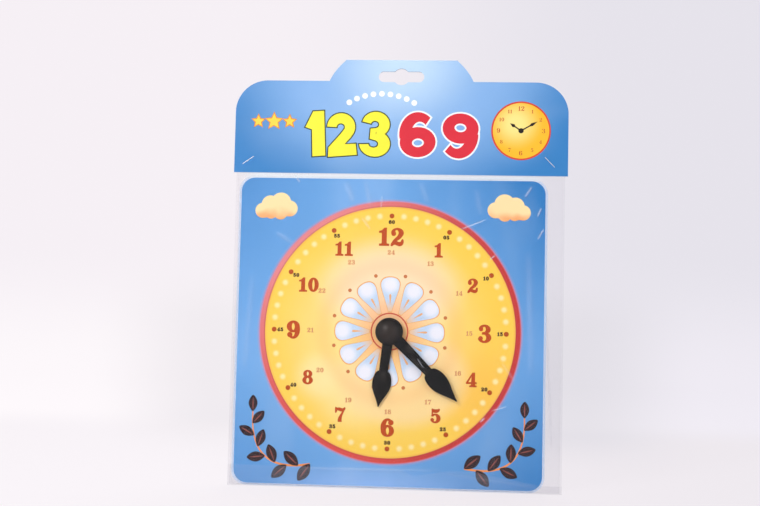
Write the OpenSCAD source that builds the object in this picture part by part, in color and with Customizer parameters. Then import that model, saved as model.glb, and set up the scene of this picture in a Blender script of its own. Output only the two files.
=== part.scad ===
// Teaching clock with two turning hands, packed in a clear film bag under a folded header card.
// Millimetres. X runs right, Z runs up and the front faces -Y. The origin is the centre of the
// hang slot, in the middle of the card's thickness, and the pack hangs down from it.

/* [Board] */
// Width and height of the square dial board
board_w = 220; // [200:1:300]
// Radius of the board's corners
board_corner_r = 10; // [3:0.5:25]
// Thickness of the grey board in the middle
core_t = 2; // [1:0.1:4]
// Thickness of the printed sheet on the front
sheet_t = 0.25; // [0.1:0.05:0.5]
// Thickness of the plain liner on the back
liner_t = 0.2; // [0.1:0.05:0.5]
// Thickness of one layer of ink
ink_t = 0.06; // [0.03:0.01:0.1]

/* [Dial] */
// Outer diameter of the ring round the dial
ring_d = 188; // [170:1:196]
// Width of the ring
ring_w = 4; // [2:0.5:6]
// Unprinted line between the ring and the field inside it
print_gap = 0.05; // [0.02:0.01:0.2]
// Distance from the ring to the centres of the dots
dot_inset = 6.7; // [4:0.1:9]
// Diameter of a dot that marks one minute
minute_dot_d = 3.6; // [2:0.1:5]
// Diameter of a dot that marks five minutes
five_minute_dot_d = 3.5; // [2:0.1:5]

/* [Hands] */
// Clockwise angle of the minute hand from twelve
minute_angle = 134.5; // [0:0.5:360]
// Clockwise angle of the hour hand from twelve
hour_angle = 187.4; // [0:0.1:360]
// Reach of the minute hand from the axis to its tip
minute_len = 69; // [60:1:80]
// Reach of the hour hand from the axis to its tip
hour_len = 54; // [48:1:60]
// Thickness of the minute hand
minute_t = 1.8; // [1.2:0.1:3]
// Thickness of the hour hand
hour_t = 1.8; // [1.2:0.1:3]
// Length of the minute hand's neck, from the axis to the blade
minute_neck_len = 40; // [30:1:45]
// Length of the hour hand's neck, from the axis to the blade
hour_neck_len = 28.5; // [22:0.5:33]
// Widest part of either blade
blade_w = 13.6; // [10:0.1:16]
// Distance along a blade from its neck to its widest part
blade_shoulder = 9.2; // [7:0.1:11]
// Width of the minute hand's neck at the axis
minute_root_w = 8.95; // [7:0.05:12]
// Width of the hour hand's neck at the axis
hour_root_w = 7.8; // [6:0.1:12]
// Width of either neck where its blade begins
neck_w = 6.3; // [4:0.1:7]
// Radius of a hand's pointed tip
tip_r = 0.45; // [0.2:0.05:0.8]
// Radius of the crown across a hand's front
hand_crown_r = 29; // [20:1:60]

/* [Hub and rivet] */
// Diameter of the round hub on the minute hand
hub_d = 19.8; // [16:0.2:26]
// Height of the hub's straight wall
hub_wall_h = 2; // [1.8:0.1:4]
// Rise of the dome above the wall
dome_h = 5.2; // [3:0.1:7]
// Reach of the slope that joins the minute hand's neck to the hub
root_slope_len = 8; // [4:0.5:14]
// How much narrower the hour hand's boss is than the hub, all round
boss_inset = 0.9; // [0.4:0.1:2]
// Outer diameter of the tubular post through the board
post_d = 8; // [6:0.1:11]
// Inner diameter of the post
post_bore_d = 5; // [3.5:0.1:6]
// Clearance all round the post in each hole that it turns in
running_fit = 0.08; // [0.02:0.01:0.1]
// Clearance between each two layers of the stack of hands and board
layer_gap = 0.3; // [0.2:0.05:0.5]
// Diameter of the button's flange behind the board
button_d = 16; // [13:0.5:22]
// Thickness of the button's flange
button_t = 1.2; // [0.8:0.1:2]
// Radius on the edge of the button's flange
button_edge_r = 0.6; // [0.2:0.05:0.7]
// Length of the button's stem inside the post
stem_len = 6; // [4:0.1:7]
// Clearance all round the stem in the post
stem_fit = 0.05; // [0.02:0.01:0.1]
// Room in the bore past the end of the stem
stem_end_room = 0.5; // [0.2:0.1:1]

/* [Header card] */
// Thickness of the card
card_t = 0.4; // [0.25:0.05:0.8]
// Distance from the slot's centre down to the card's lower edge
slot_to_bottom = 71.4; // [60:0.2:90]
// Distance from the slot's centre down to the card's shoulders
slot_to_shoulder = 3.3; // [2:0.1:8]
// Distance from the slot's centre up to the fold on top
slot_to_top = 12.5; // [9:0.1:18]
// Radius of the shoulders' corners
header_corner_r = 23.5; // [10:0.5:35]
// Width of the tab at the fold
tab_top_w = 81.6; // [60:0.2:100]
// Width of the tab at the shoulders
tab_base_w = 104.8; // [102:0.2:130]
// Outward bulge of each side of the tab
tab_bulge = 1.3; // [0.4:0.1:2.5]
// How far the card reaches past the bag on each side
header_lap = 2; // [0.5:0.1:6]

/* [Hang slot] */
// Length of the slot
slot_w = 33.2; // [28:0.2:38]
// Height of the slot
slot_h = 7.8; // [6:0.1:9]
// Diameter of the round part in the middle
slot_round_d = 12.2; // [9:0.1:14]

/* [Staples] */
// Diameter of the wire
wire_d = 0.5; // [0.4:0.05:0.7]
// Distance between the middles of the two legs
crown_w = 9.6; // [8:0.1:12]
// Radius of a bend, at the middle of the wire
bend_r = 0.3; // [0.3:0.05:0.5]
// Length of the part of each leg that is folded flat behind the card
clinch_len = 3.6; // [2:0.1:4]
// Clearance all round a leg where it goes through the card and the film
leg_fit = 0.05; // [0.02:0.01:0.1]
// Clearance between a staple and the card that it lies on
staple_seat = 0.05; // [0.02:0.01:0.1]
// Distance from the left staple's middle to the card's left edge
left_staple_in = 10.3; // [8:0.1:16]
// Distance from the left staple's middle to the card's lower edge
left_staple_up = 9.1; // [7:0.1:14]
// Slope of the left staple, rising to the right
left_staple_angle = 35; // [0:1:60]
// Distance from the right staple's middle to the card's right edge
right_staple_in = 13.2; // [8:0.1:16]
// Distance from the right staple's middle to the card's lower edge
right_staple_up = 10.2; // [7:0.1:14]
// Slope of the right staple, falling to the right
right_staple_angle = 46; // [0:1:60]

/* [Bag] */
// Thickness of the film, drawn thicker than the real film
film_t = 0.2; // [0.1:0.05:0.3]
// Clearance between the film and what it lies over
film_gap = 0.3; // [0.2:0.05:0.5]
// Slack of the front film over the sweep of the minute hand
sweep_slack = 0.3; // [0.2:0.05:2]
// Room between the board and the left edge of the bag
bag_room_left = 4.3; // [3.5:0.1:12]
// Room between the board and the right edge of the bag
bag_room_right = 13.7; // [3.5:0.1:20]
// Room between the board and the bag's folded bottom
bag_room_bottom = 2; // [1.8:0.1:6]
// Room between the board and the card above it
board_drop = 3.7; // [2.5:0.1:8]
// Width of each welded side seam
seam_w = 1.5; // [0.8:0.1:2]
// Height of the flattened fold at the bottom
fold_h = 0.8; // [0.5:0.1:1]
// Height of the bag's mouth inside the card
mouth_h = 25; // [16:0.5:35]
// Reach of the back film's bulge round the button
button_bulge_r = 60; // [30:1:90]

/* [Hidden] */
$fn = 96;

minutes = 60;
minutes_apart = 5;
outline_steps = 8;
film_cells = 24;
// How square the film's contours are: 2 is a circle, and higher is squarer
contour_power = 4;
// How steeply a blade closes at its tip, against a straight taper
tip_slope_share = 0.65;
// Where the slope at the minute hand's root starts: shares of the dome's rise and the hub's radius
slope_rise_share = 0.38;
slope_start_share = 0.6;
// What a cutting shape overruns a surface by
overrun = 1;

// The bag and the board
bag_w = board_w + bag_room_left + bag_room_right;
board_x = (bag_room_left - bag_room_right) / 2;
board_z = -slot_to_bottom - board_drop - board_w / 2;
bag_bottom_z = board_z - board_w / 2 - bag_room_bottom;

// Depths of the layers, from the front of the print to the back of the liner
core_front_y = -core_t / 2;
sheet_front_y = core_front_y - sheet_t;
field_front_y = sheet_front_y - ink_t;
dot_front_y = field_front_y - ink_t;
liner_back_y = core_t / 2 + liner_t;

// Depths of the hands and of the button behind the board
hour_back_y = dot_front_y - layer_gap;
hour_front_y = hour_back_y - hour_t;
minute_back_y = hour_front_y - layer_gap;
minute_front_y = minute_back_y - minute_t;
hub_r = hub_d / 2;
hub_front_y = minute_back_y - hub_wall_h - dome_h;
dome_r = (hub_r * hub_r + dome_h * dome_h) / (2 * dome_h);
post_r = post_d / 2;
button_front_y = liner_back_y + layer_gap;
button_back_y = button_front_y + button_t;
bore_depth = stem_len + stem_end_room;

// The dial
ring_inner_r = ring_d / 2 - ring_w;
dot_circle_r = ring_inner_r - dot_inset;

// The header card
header_w = bag_w + 2 * header_lap;
leaf_front_y = -film_t - card_t;
leaf_back_y = film_t + card_t;
fold_r = film_t + card_t;
leaf_top_z = slot_to_top - fold_r;
tab_rise = leaf_top_z + slot_to_shoulder;

// The film's heights above the middle of the pack
film_peak = -hub_front_y + film_gap;
film_sweep = -minute_front_y + film_gap + sweep_slack;
film_rim = -sheet_front_y + film_gap;
film_back_peak = button_back_y + film_gap;
film_back_rim = liner_back_y + film_gap;
film_half = board_w / 2 + film_gap;

// Columns and rows of the film, dense over the board
film_xs = concat(
    [-bag_w / 2 + seam_w],
    [for (i = [0:film_cells]) board_x - film_half + 2 * film_half * i / film_cells],
    [bag_w / 2 - seam_w]
);
film_zs = concat(
    [bag_bottom_z + fold_h],
    [for (i = [0:film_cells]) board_z - film_half + 2 * film_half * i / film_cells],
    [-slot_to_bottom]
);

// Value between two others, by a share held between 0 and 1
function between(a, b, share) = a + (b - a) * max(0, min(1, share));

// Distance from the dial's axis, on contours between a circle and a square
function contour_r(x, z) =
    pow(pow(abs(x - board_x), contour_power) + pow(abs(z - board_z), contour_power), 1 / contour_power);

// The front film falls from the hub to the minute hand's sweep, and on to the board's edge
function front_lift(r) =
    r < minute_len
    ? between(film_peak, film_sweep, (r - hub_r) / (minute_len - hub_r))
    : between(film_sweep, film_rim, (r - minute_len) / (film_half - minute_len));

// The back film eases down from the button
function back_lift(r) =
    between(film_back_rim, film_back_peak,
            pow(max(0, 1 - max(0, r - hub_r) / (button_bulge_r - hub_r)), 2));

// Side profile of a blade: 1 at its widest, 0 at its tip
function blade_share(s) = 1 - (3 - tip_slope_share) * s * s + (2 - tip_slope_share) * s * s * s;

// Right-hand edge of a hand, from the axis to the tip
function hand_edge(root_w, neck_len, reach) = concat(
    [[root_w / 2, 0], [neck_w / 2, neck_len]],
    [for (k = [1:outline_steps]) let (a = 90 * k / outline_steps)
        [neck_w / 2 + (blade_w - neck_w) / 2 * sin(a), neck_len + blade_shoulder * (1 - cos(a))]],
    [for (k = [1:outline_steps]) let (s = k / outline_steps)
        [tip_r + (blade_w / 2 - tip_r) * blade_share(s),
         between(neck_len + blade_shoulder, reach - tip_r, s)]]
);

// Flat plate in the plane of the dial, from back_y forwards
module plate(back_y, thickness) {
    translate([0, back_y, 0]) rotate([90, 0, 0]) linear_extrude(height = thickness) children();
}

// Turns a shape that stands on Z so that it points forwards from back_y
module forwards(back_y) {
    translate([0, back_y, 0]) rotate([90, 0, 0]) children();
}

module at_dial() {
    translate([board_x, 0, board_z]) children();
}

// Straight bar along X with its section in the YZ plane
module bar_along_x(length) {
    translate([-length / 2, 0, 0]) rotate([90, 0, 90]) linear_extrude(height = length) children();
}

module board_outline() {
    square([board_w - 2 * board_corner_r, board_w], center = true);
    square([board_w, board_w - 2 * board_corner_r], center = true);
    for (sx = [-1, 1], sz = [-1, 1])
        translate([sx, sz] * (board_w / 2 - board_corner_r)) circle(r = board_corner_r);
}

module post_hole() {
    circle(r = post_r + running_fit);
}

module board_layer(back_y, thickness) {
    at_dial() plate(back_y, thickness) difference() {
        board_outline();
        post_hole();
    }
}

module board_core() {
    color("#9b9488") board_layer(core_t / 2, core_t);
}

module face_sheet() {
    color("#5fa9e6") board_layer(core_front_y, sheet_t);
}

module back_liner() {
    color("#eeeeea") board_layer(liner_back_y, liner_t);
}

module dial_ring() {
    color("#e0463f") at_dial() plate(sheet_front_y, ink_t) difference() {
        circle(r = ring_d / 2);
        circle(r = ring_inner_r);
    }
}

module dial_field() {
    color("#ffd75e") at_dial() plate(sheet_front_y, ink_t) difference() {
        circle(r = ring_inner_r - print_gap);
        post_hole();
    }
}

// One dot for each minute in the list
module dots(marks, diameter) {
    at_dial() plate(field_front_y, ink_t)
        for (m = marks) rotate(-360 * m / minutes) translate([0, dot_circle_r]) circle(d = diameter);
}

module minute_dots() {
    color("#fff6dc") dots([for (m = [0:minutes - 1]) if (m % minutes_apart != 0) m], minute_dot_d);
}

module five_minute_dots() {
    color("#d8402f") dots([for (m = [0:minutes_apart:minutes - 1]) m], five_minute_dot_d);
}

module hand_outline(root_w, neck_len, reach) {
    edge = hand_edge(root_w, neck_len, reach);
    polygon(concat(edge, [for (k = [len(edge) - 1:-1:0]) [-edge[k][0], edge[k][1]]]));
    translate([0, reach - tip_r]) circle(r = tip_r);
}

// A hand's neck and blade, pointing up and crowned across its front
module hand_blade(root_w, neck_len, reach, back_y, front_y) {
    intersection() {
        plate(back_y, back_y - front_y) hand_outline(root_w, neck_len, reach);
        translate([0, front_y + hand_crown_r, -hub_r]) cylinder(r = hand_crown_r, h = reach + 2 * hub_r);
    }
}

module hour_hand() {
    boss_r = hub_r - boss_inset;
    color("#26221f") at_dial() rotate([0, hour_angle, 0]) difference() {
        union() {
            hand_blade(hour_root_w, hour_neck_len, hour_len, hour_back_y, hour_front_y);
            forwards(hour_back_y) cylinder(r = boss_r, h = hour_t);
        }
        forwards(hour_back_y + overrun) cylinder(r = post_r + running_fit, h = hour_t + 2 * overrun);
    }
}

// Section of the hub: a straight wall that a round dome closes
module hub_section() {
    intersection() {
        translate([0, hub_wall_h + dome_h - dome_r]) circle(r = dome_r);
        square([hub_r, hub_wall_h + dome_h]);
    }
}

// Slope from inside the dome down to the neck's front, cut to the neck's outline
module root_slope() {
    slope_top = hub_wall_h + dome_h * slope_rise_share;
    intersection() {
        forwards(minute_back_y) rotate_extrude() polygon([
            [0, 0], [0, slope_top], [hub_r * slope_start_share, slope_top],
            [hub_r + root_slope_len, minute_t / 2], [hub_r + root_slope_len, 0]
        ]);
        plate(minute_back_y, slope_top) hand_outline(minute_root_w, minute_neck_len, minute_len);
    }
}

module minute_hand() {
    color("#1d1a19") at_dial() rotate([0, minute_angle, 0]) difference() {
        union() {
            hand_blade(minute_root_w, minute_neck_len, minute_len, minute_back_y, minute_front_y);
            root_slope();
            forwards(minute_back_y) rotate_extrude() hub_section();
            forwards(button_front_y)
                cylinder(r = post_r, h = button_front_y - minute_back_y + hub_wall_h / 2);
        }
        forwards(button_front_y + overrun) cylinder(d = post_bore_d, h = bore_depth + overrun);
    }
}

module back_button() {
    flange_r = button_d / 2;
    color("#2b2725") at_dial() {
        forwards(button_back_y) rotate_extrude() {
            square([flange_r - button_edge_r, button_t]);
            translate([0, button_edge_r]) square([flange_r, button_t - button_edge_r]);
            translate([flange_r - button_edge_r, button_edge_r]) intersection() {
                circle(r = button_edge_r);
                translate([0, -button_edge_r]) square(button_edge_r);
            }
        }
        forwards(button_front_y) cylinder(r = post_bore_d / 2 - stem_fit, h = stem_len);
    }
}

// One side of the tab, from the shoulder up to the fold, bulging outwards
function tab_side() = [for (k = [0:outline_steps]) let (s = k / outline_steps)
    [between(tab_base_w, tab_top_w, s) / 2 + 4 * s * (1 - s) * tab_bulge,
     between(-slot_to_shoulder, leaf_top_z, s)]];

module tab_outline() {
    side = tab_side();
    polygon(concat(
        [[tab_base_w / 2, -slot_to_shoulder - header_corner_r]], side,
        [for (k = [len(side) - 1:-1:0]) [-side[k][0], side[k][1]]],
        [[-tab_base_w / 2, -slot_to_shoulder - header_corner_r]]
    ));
}

module leaf_outline() {
    body_h = slot_to_bottom - slot_to_shoulder;
    translate([-header_w / 2, -slot_to_bottom]) square([header_w, body_h - header_corner_r]);
    translate([-header_w / 2 + header_corner_r, -slot_to_bottom])
        square([header_w - 2 * header_corner_r, body_h]);
    for (sx = [-1, 1])
        translate([sx * (header_w / 2 - header_corner_r), -slot_to_shoulder - header_corner_r])
            circle(r = header_corner_r);
    tab_outline();
}

module slot_outline() {
    square([slot_w - slot_h, slot_h], center = true);
    for (sx = [-1, 1]) translate([sx * (slot_w - slot_h) / 2, 0]) circle(d = slot_h);
    circle(d = slot_round_d);
}

// Places a staple's shapes: its middle, and its slope rising to the right
module at_left_staple() {
    translate([-header_w / 2 + left_staple_in, 0, -slot_to_bottom + left_staple_up])
        rotate([0, -left_staple_angle, 0]) children();
}

module at_right_staple() {
    translate([header_w / 2 - right_staple_in, 0, -slot_to_bottom + right_staple_up])
        rotate([0, right_staple_angle, 0]) children();
}

// The two holes that a staple's legs go through
module leg_holes() {
    for (sx = [-1, 1]) translate([sx * crown_w / 2, 0, 0])
        forwards(leaf_back_y + overrun)
            cylinder(d = wire_d + 2 * leg_fit, h = leaf_back_y - leaf_front_y + 2 * overrun);
}

module header_card() {
    color("#74b6f0") difference() {
        union() {
            plate(-film_t, card_t) leaf_outline();
            plate(leaf_back_y, card_t) leaf_outline();
            translate([0, 0, leaf_top_z]) bar_along_x(tab_top_w) difference() {
                circle(r = fold_r);
                circle(r = film_t);
                translate([-fold_r, -fold_r]) square([2 * fold_r, fold_r]);
            }
        }
        plate(leaf_back_y + overrun, leaf_back_y - leaf_front_y + 2 * overrun) slot_outline();
        at_left_staple() leg_holes();
        at_right_staple() leg_holes();
    }
}

// Quarter bend of wire from +X at the origin round to +Y
module wire_bend() {
    translate([0, bend_r, 0]) rotate([0, 0, -90])
        rotate_extrude(angle = 90) translate([bend_r, 0]) circle(d = wire_d);
}

// Staple: the crown in front, two legs through the card, and their ends folded in behind
module staple() {
    wire_r = wire_d / 2;
    crown_y = leaf_front_y - staple_seat - wire_r;
    clinch_y = leaf_back_y + staple_seat + wire_r;
    straight_w = crown_w - 2 * bend_r;
    translate([-straight_w / 2, crown_y, 0]) rotate([0, 90, 0]) cylinder(r = wire_r, h = straight_w);
    for (side = [0, 1]) mirror([side, 0, 0]) {
        translate([straight_w / 2, crown_y, 0]) wire_bend();
        translate([crown_w / 2, crown_y + bend_r, 0]) rotate([-90, 0, 0])
            cylinder(r = wire_r, h = clinch_y - crown_y - 2 * bend_r);
        translate([straight_w / 2, clinch_y, 0]) mirror([0, 1, 0]) wire_bend();
        translate([straight_w / 2 - clinch_len, clinch_y, 0]) rotate([0, 90, 0])
            cylinder(r = wire_r, h = clinch_len);
    }
}

module staple_left() {
    color("#c9ccd0") at_left_staple() staple();
}

module staple_right() {
    color("#c9ccd0") at_right_staple() staple();
}

// Sheet of film over the whole board, from its near heights to its far heights above the middle
module film_sheet(near, far) {
    nx = len(film_xs);
    nz = len(film_zs);
    low = [for (j = [0:nz - 1], i = [0:nx - 1]) [film_xs[i], near[j][i], film_zs[j]]];
    high = [for (j = [0:nz - 1], i = [0:nx - 1]) [film_xs[i], far[j][i], film_zs[j]]];
    back = nx * nz;
    front_faces = [for (j = [0:nz - 2], i = [0:nx - 2]) let (a = j * nx + i, b = a + nx)
        each [[a, b, b + 1], [a, b + 1, a + 1]]];
    back_faces = [for (f = front_faces) [f[0] + back, f[2] + back, f[1] + back]];
    rim = concat(
        [for (i = [0:nx - 2]) i], [for (j = [0:nz - 2]) j * nx + nx - 1],
        [for (i = [nx - 1:-1:1]) (nz - 1) * nx + i], [for (j = [nz - 1:-1:1]) j * nx]
    );
    rim_faces = [for (k = [0:len(rim) - 1]) let (a = rim[k], b = rim[(k + 1) % len(rim)])
        each [[a, b, b + back], [a, b + back, a + back]]];
    polyhedron(points = concat(low, high), faces = concat(front_faces, back_faces, rim_faces));
}

// The film lies flat on the seams at its border and stands off the board everywhere else
function film_lifts(lift) = [for (j = [0:len(film_zs) - 1]) [for (i = [0:len(film_xs) - 1])
    i == 0 || j == 0 || i == len(film_xs) - 1 || j == len(film_zs) - 1
    ? 0
    : lift(contour_r(film_xs[i], film_zs[j]))]];

module bag_front() {
    lifts = film_lifts(function (r) front_lift(r));
    color("#dfeaf4", 0.4) film_sheet(
        [for (row = lifts) [for (v = row) -v - film_t]],
        [for (row = lifts) [for (v = row) -v]]
    );
}

module bag_back() {
    lifts = film_lifts(function (r) back_lift(r));
    color("#dfeaf4", 0.4) film_sheet(lifts, [for (row = lifts) [for (v = row) v + film_t]]);
}

// Welded seam down one side of the bag
module side_seam(outer_x, side) {
    seam_bottom_z = bag_bottom_z + fold_h;
    plate(film_t, 2 * film_t) translate([side > 0 ? outer_x - seam_w : outer_x, seam_bottom_z])
        square([seam_w, -slot_to_bottom - seam_bottom_z]);
}

module bag_seam_left() {
    color("#d3e0ec", 0.6) side_seam(-bag_w / 2, -1);
}

module bag_seam_right() {
    color("#d3e0ec", 0.6) side_seam(bag_w / 2, 1);
}

module bag_bottom_fold() {
    color("#d3e0ec", 0.6) translate([0, 0, bag_bottom_z]) bar_along_x(bag_w) {
        translate([0, film_t]) circle(r = film_t);
        translate([-film_t, film_t]) square([2 * film_t, fold_h - film_t]);
    }
}

module bag_mouth() {
    color("#d3e0ec", 0.6) difference() {
        plate(film_t, 2 * film_t) translate([-bag_w / 2, -slot_to_bottom]) square([bag_w, mouth_h]);
        at_left_staple() leg_holes();
        at_right_staple() leg_holes();
    }
}

board_core();
face_sheet();
back_liner();
dial_ring();
dial_field();
minute_dots();
five_minute_dots();
hour_hand();
minute_hand();
back_button();
header_card();
staple_left();
staple_right();
bag_front();
bag_back();
bag_seam_left();
bag_seam_right();
bag_bottom_fold();
bag_mouth();
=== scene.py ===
"""Looks of the teaching clock: print, numerals, hands, staples, film bag and stage.

Everything is in metres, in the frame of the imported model: X right, Z up, the front faces -Y.
Flat print is drawn in millimetres round the middle of the dial, of the hang slot or of its own motif.
"""

import math

import bpy
from mathutils import Euler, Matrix, Vector, geometry, noise


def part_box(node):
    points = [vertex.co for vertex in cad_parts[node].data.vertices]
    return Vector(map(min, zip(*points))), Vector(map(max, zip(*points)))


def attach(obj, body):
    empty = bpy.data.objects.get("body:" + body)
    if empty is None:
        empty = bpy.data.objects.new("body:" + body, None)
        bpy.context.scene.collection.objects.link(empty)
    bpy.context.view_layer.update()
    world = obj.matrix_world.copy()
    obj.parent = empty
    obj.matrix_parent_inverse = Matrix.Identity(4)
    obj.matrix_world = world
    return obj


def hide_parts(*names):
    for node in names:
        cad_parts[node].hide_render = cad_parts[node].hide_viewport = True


bl_info = {
    "name": "Teaching Clock",
    "version": (1, 0, 0),
    "blender": (4, 5, 0),
    "location": "View3D > Sidebar > Clock",
    "description": "Dresses the packed teaching clock and builds its stage",
    "category": "Object",
}

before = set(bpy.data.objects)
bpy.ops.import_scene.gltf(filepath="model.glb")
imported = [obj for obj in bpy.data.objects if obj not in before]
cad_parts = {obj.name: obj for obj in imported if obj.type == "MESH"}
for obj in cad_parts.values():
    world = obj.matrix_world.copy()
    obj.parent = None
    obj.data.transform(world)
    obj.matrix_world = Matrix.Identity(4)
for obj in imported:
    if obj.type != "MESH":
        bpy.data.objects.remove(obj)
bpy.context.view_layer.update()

MM = 0.001
PACK = "display_pack"

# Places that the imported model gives; its origin is the middle of the hang slot
BOARD_LOW, BOARD_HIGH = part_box("board_core")
DIAL = (BOARD_LOW + BOARD_HIGH) / 2
HANG_SLOT = Vector()
SHEET_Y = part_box("face_sheet")[0].y
FIELD_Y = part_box("dial_field")[0].y
CARD_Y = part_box("header_card")[0].y
FLOOR_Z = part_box("bag_bottom_fold")[0].z

CORNER_R = 10 * MM
DOT_CIRCLE_R = 83.3 * MM
LAYER = 0.03 * MM
HOURS = [str(hour) for hour in (12, *range(1, 12))]


def ink(code):
    """Linear colour of a screen colour written as six hex digits."""
    parts = [int(code[i:i + 2], 16) / 255 for i in (0, 2, 4)]
    return tuple(p / 12.92 if p <= 0.04045 else ((p + 0.055) / 1.055) ** 2.4 for p in parts)


def colour_prop(name, description, code):
    return bpy.props.FloatVectorProperty(
        name=name, description=description, subtype="COLOR", size=3, min=0, max=1, default=ink(code))


def length_prop(name, description, millimetres):
    return bpy.props.FloatProperty(
        name=name, description=description, subtype="DISTANCE", unit="LENGTH", min=0,
        default=millimetres * MM)


def angle_prop(name, description, degrees):
    return bpy.props.FloatProperty(
        name=name, description=description, subtype="ANGLE", unit="ROTATION",
        default=math.radians(degrees))


def power_prop(name, description, watts):
    return bpy.props.FloatProperty(
        name=name, description=description, subtype="POWER", unit="POWER", min=0, default=watts)


def share_prop(name, description, share):
    return bpy.props.FloatProperty(
        name=name, description=description, subtype="FACTOR", min=0, max=1, default=share)


class ClockPrintSettings(bpy.types.PropertyGroup):
    board_light: colour_prop("Board Light", "Blue of the board's middle", "6ea9e4")
    board_deep: colour_prop("Board Deep", "Blue of the board's corners", "247abf")
    # Painted sheen of the film over the board's low edge
    board_pale: colour_prop("Board Pale", "Haze low on the board", "98c4fc")
    ring_red: colour_prop("Ring Red", "Red of the ring on the right", "c63836")
    ring_warm: colour_prop("Ring Warm", "Red of the ring on the left", "da4e47")
    # Pink of a painted film highlight on the ring's upper left
    ring_pink: colour_prop("Ring Pink", "Pink bloom on the ring's upper left", "e48689")
    field_yellow: colour_prop("Field Yellow", "Yellow near the dial's rim", "fdd14c")
    field_pale: colour_prop("Field Pale", "Pale yellow of the dial's middle", "fee18a")
    field_peach: colour_prop("Field Peach", "Peach light high on the dial", "fee3ba")
    field_low: colour_prop("Field Low", "Pale light low on the dial", "fedd9c")
    field_orange: colour_prop("Field Orange", "Orange shading on the dial", "fb9a4c")
    numeral_red: colour_prop("Numeral Red", "Red-brown of the hour numerals", "bd4702")
    numeral_black: colour_prop("Numeral Black", "Brown-black of the minute numerals", "3c2000")
    numeral_faint: colour_prop("Numeral Faint", "Faint brown of the afternoon numerals", "d9925e")
    dot_cream: colour_prop("Dot Cream", "Cream of the minute dots", "ffe7a4")
    hour_main_size: length_prop("Main Hour Height", "Height of 12, 3, 6 and 9", 13.2)
    hour_size: length_prop("Hour Height", "Height of the other hour numerals", 10.4)
    hour_radius: length_prop("Hour Radius", "Hour numerals from the axis", 68.2)
    minute_size: length_prop("Minute Height", "Height of the minute numerals", 2.9)
    minute_radius: length_prop("Minute Radius", "Minute numerals from the axis", 78.9)
    inner_size: length_prop("Afternoon Height", "Height of the afternoon numerals", 3.4)
    inner_radius: length_prop("Afternoon Radius", "Afternoon numerals from the axis", 57.0)


class ClockMotifSettings(bpy.types.PropertyGroup):
    petal_count: bpy.props.IntProperty(
        name="Petals", description="Petals of the rosette round the hub", min=3, default=12)
    petal_start: length_prop("Petal Start", "Petals' inner ends from the axis", 14.5)
    petal_end: length_prop("Petal End", "Petals' outer ends from the axis", 39)
    petal_width: length_prop("Petal Width", "Widest part of a petal", 13.4)
    petal_white: colour_prop("Petal White", "White of the petals", "eef0fa")
    petal_shade: colour_prop("Petal Shade", "Cool shade at the petals' roots", "b4d2f0")
    cloud_cream: colour_prop("Cloud Cream", "Cream of the clouds", "ffe2a8")
    cloud_orange: colour_prop("Cloud Orange", "Orange under the clouds", "f6a566")
    leaf_brown: colour_prop("Leaf Brown", "Dark brown of the leaves", "301b20")
    leaf_vein: colour_prop("Leaf Vein", "Terracotta of the veins", "8c4a42")
    stem_orange: colour_prop("Stem Orange", "Orange of the stems", "f29552")


class ClockCardSettings(bpy.types.PropertyGroup):
    card_light: colour_prop("Card Light", "Blue round the hang slot", "c2dff9")
    card_mid: colour_prop("Card Middle", "Blue between", "86b4e8")
    card_deep: colour_prop("Card Deep", "Blue at the card's ends", "3481c3")
    title_yellow: colour_prop("Title Yellow", "Yellow digits", "faf03c")
    title_red: colour_prop("Title Red", "Red digits", "dc2c3c")
    title_dark: colour_prop("Title Outline", "Dark outline of the yellow digits", "26371f")
    title_white: colour_prop("Title White", "White outline of the red digits", "f4f8fd")
    title_size: length_prop("Title Height", "Height of the digits", 33)


class ClockFilmSettings(bpy.types.PropertyGroup):
    thickness: length_prop("Thickness", "Thickness of the film", 0.2)
    ripple: length_prop("Ripple", "Height of the film's soft ripples", 0.5)
    free_tone: colour_prop("Free Tone", "Grey of the film where nothing is behind it", "9a98ac")
    flat_tone: colour_prop("Flat Tone", "Cool sheen of the film over the print", "e0edff")
    # Pulled tone is the colour of a painted highlight along the board's edge
    pulled_tone: colour_prop("Pulled Tone", "Light blue of the film pulled over the board's edge", "9fcfff")
    gap_tone: colour_prop("Gap Tone", "Blue sheen of the film between the board and the card", "b8eaff")
    haze: share_prop("Haze", "How much light the flat film catches", 0.006)
    # Glint sets how bright the creases' painted glints show
    glint: share_prop("Glint", "How white a crease shows", 0.5)
    cells: bpy.props.IntProperty(
        name="Cells", description="Cells of film along the board", min=24, max=150, default=76)


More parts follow.
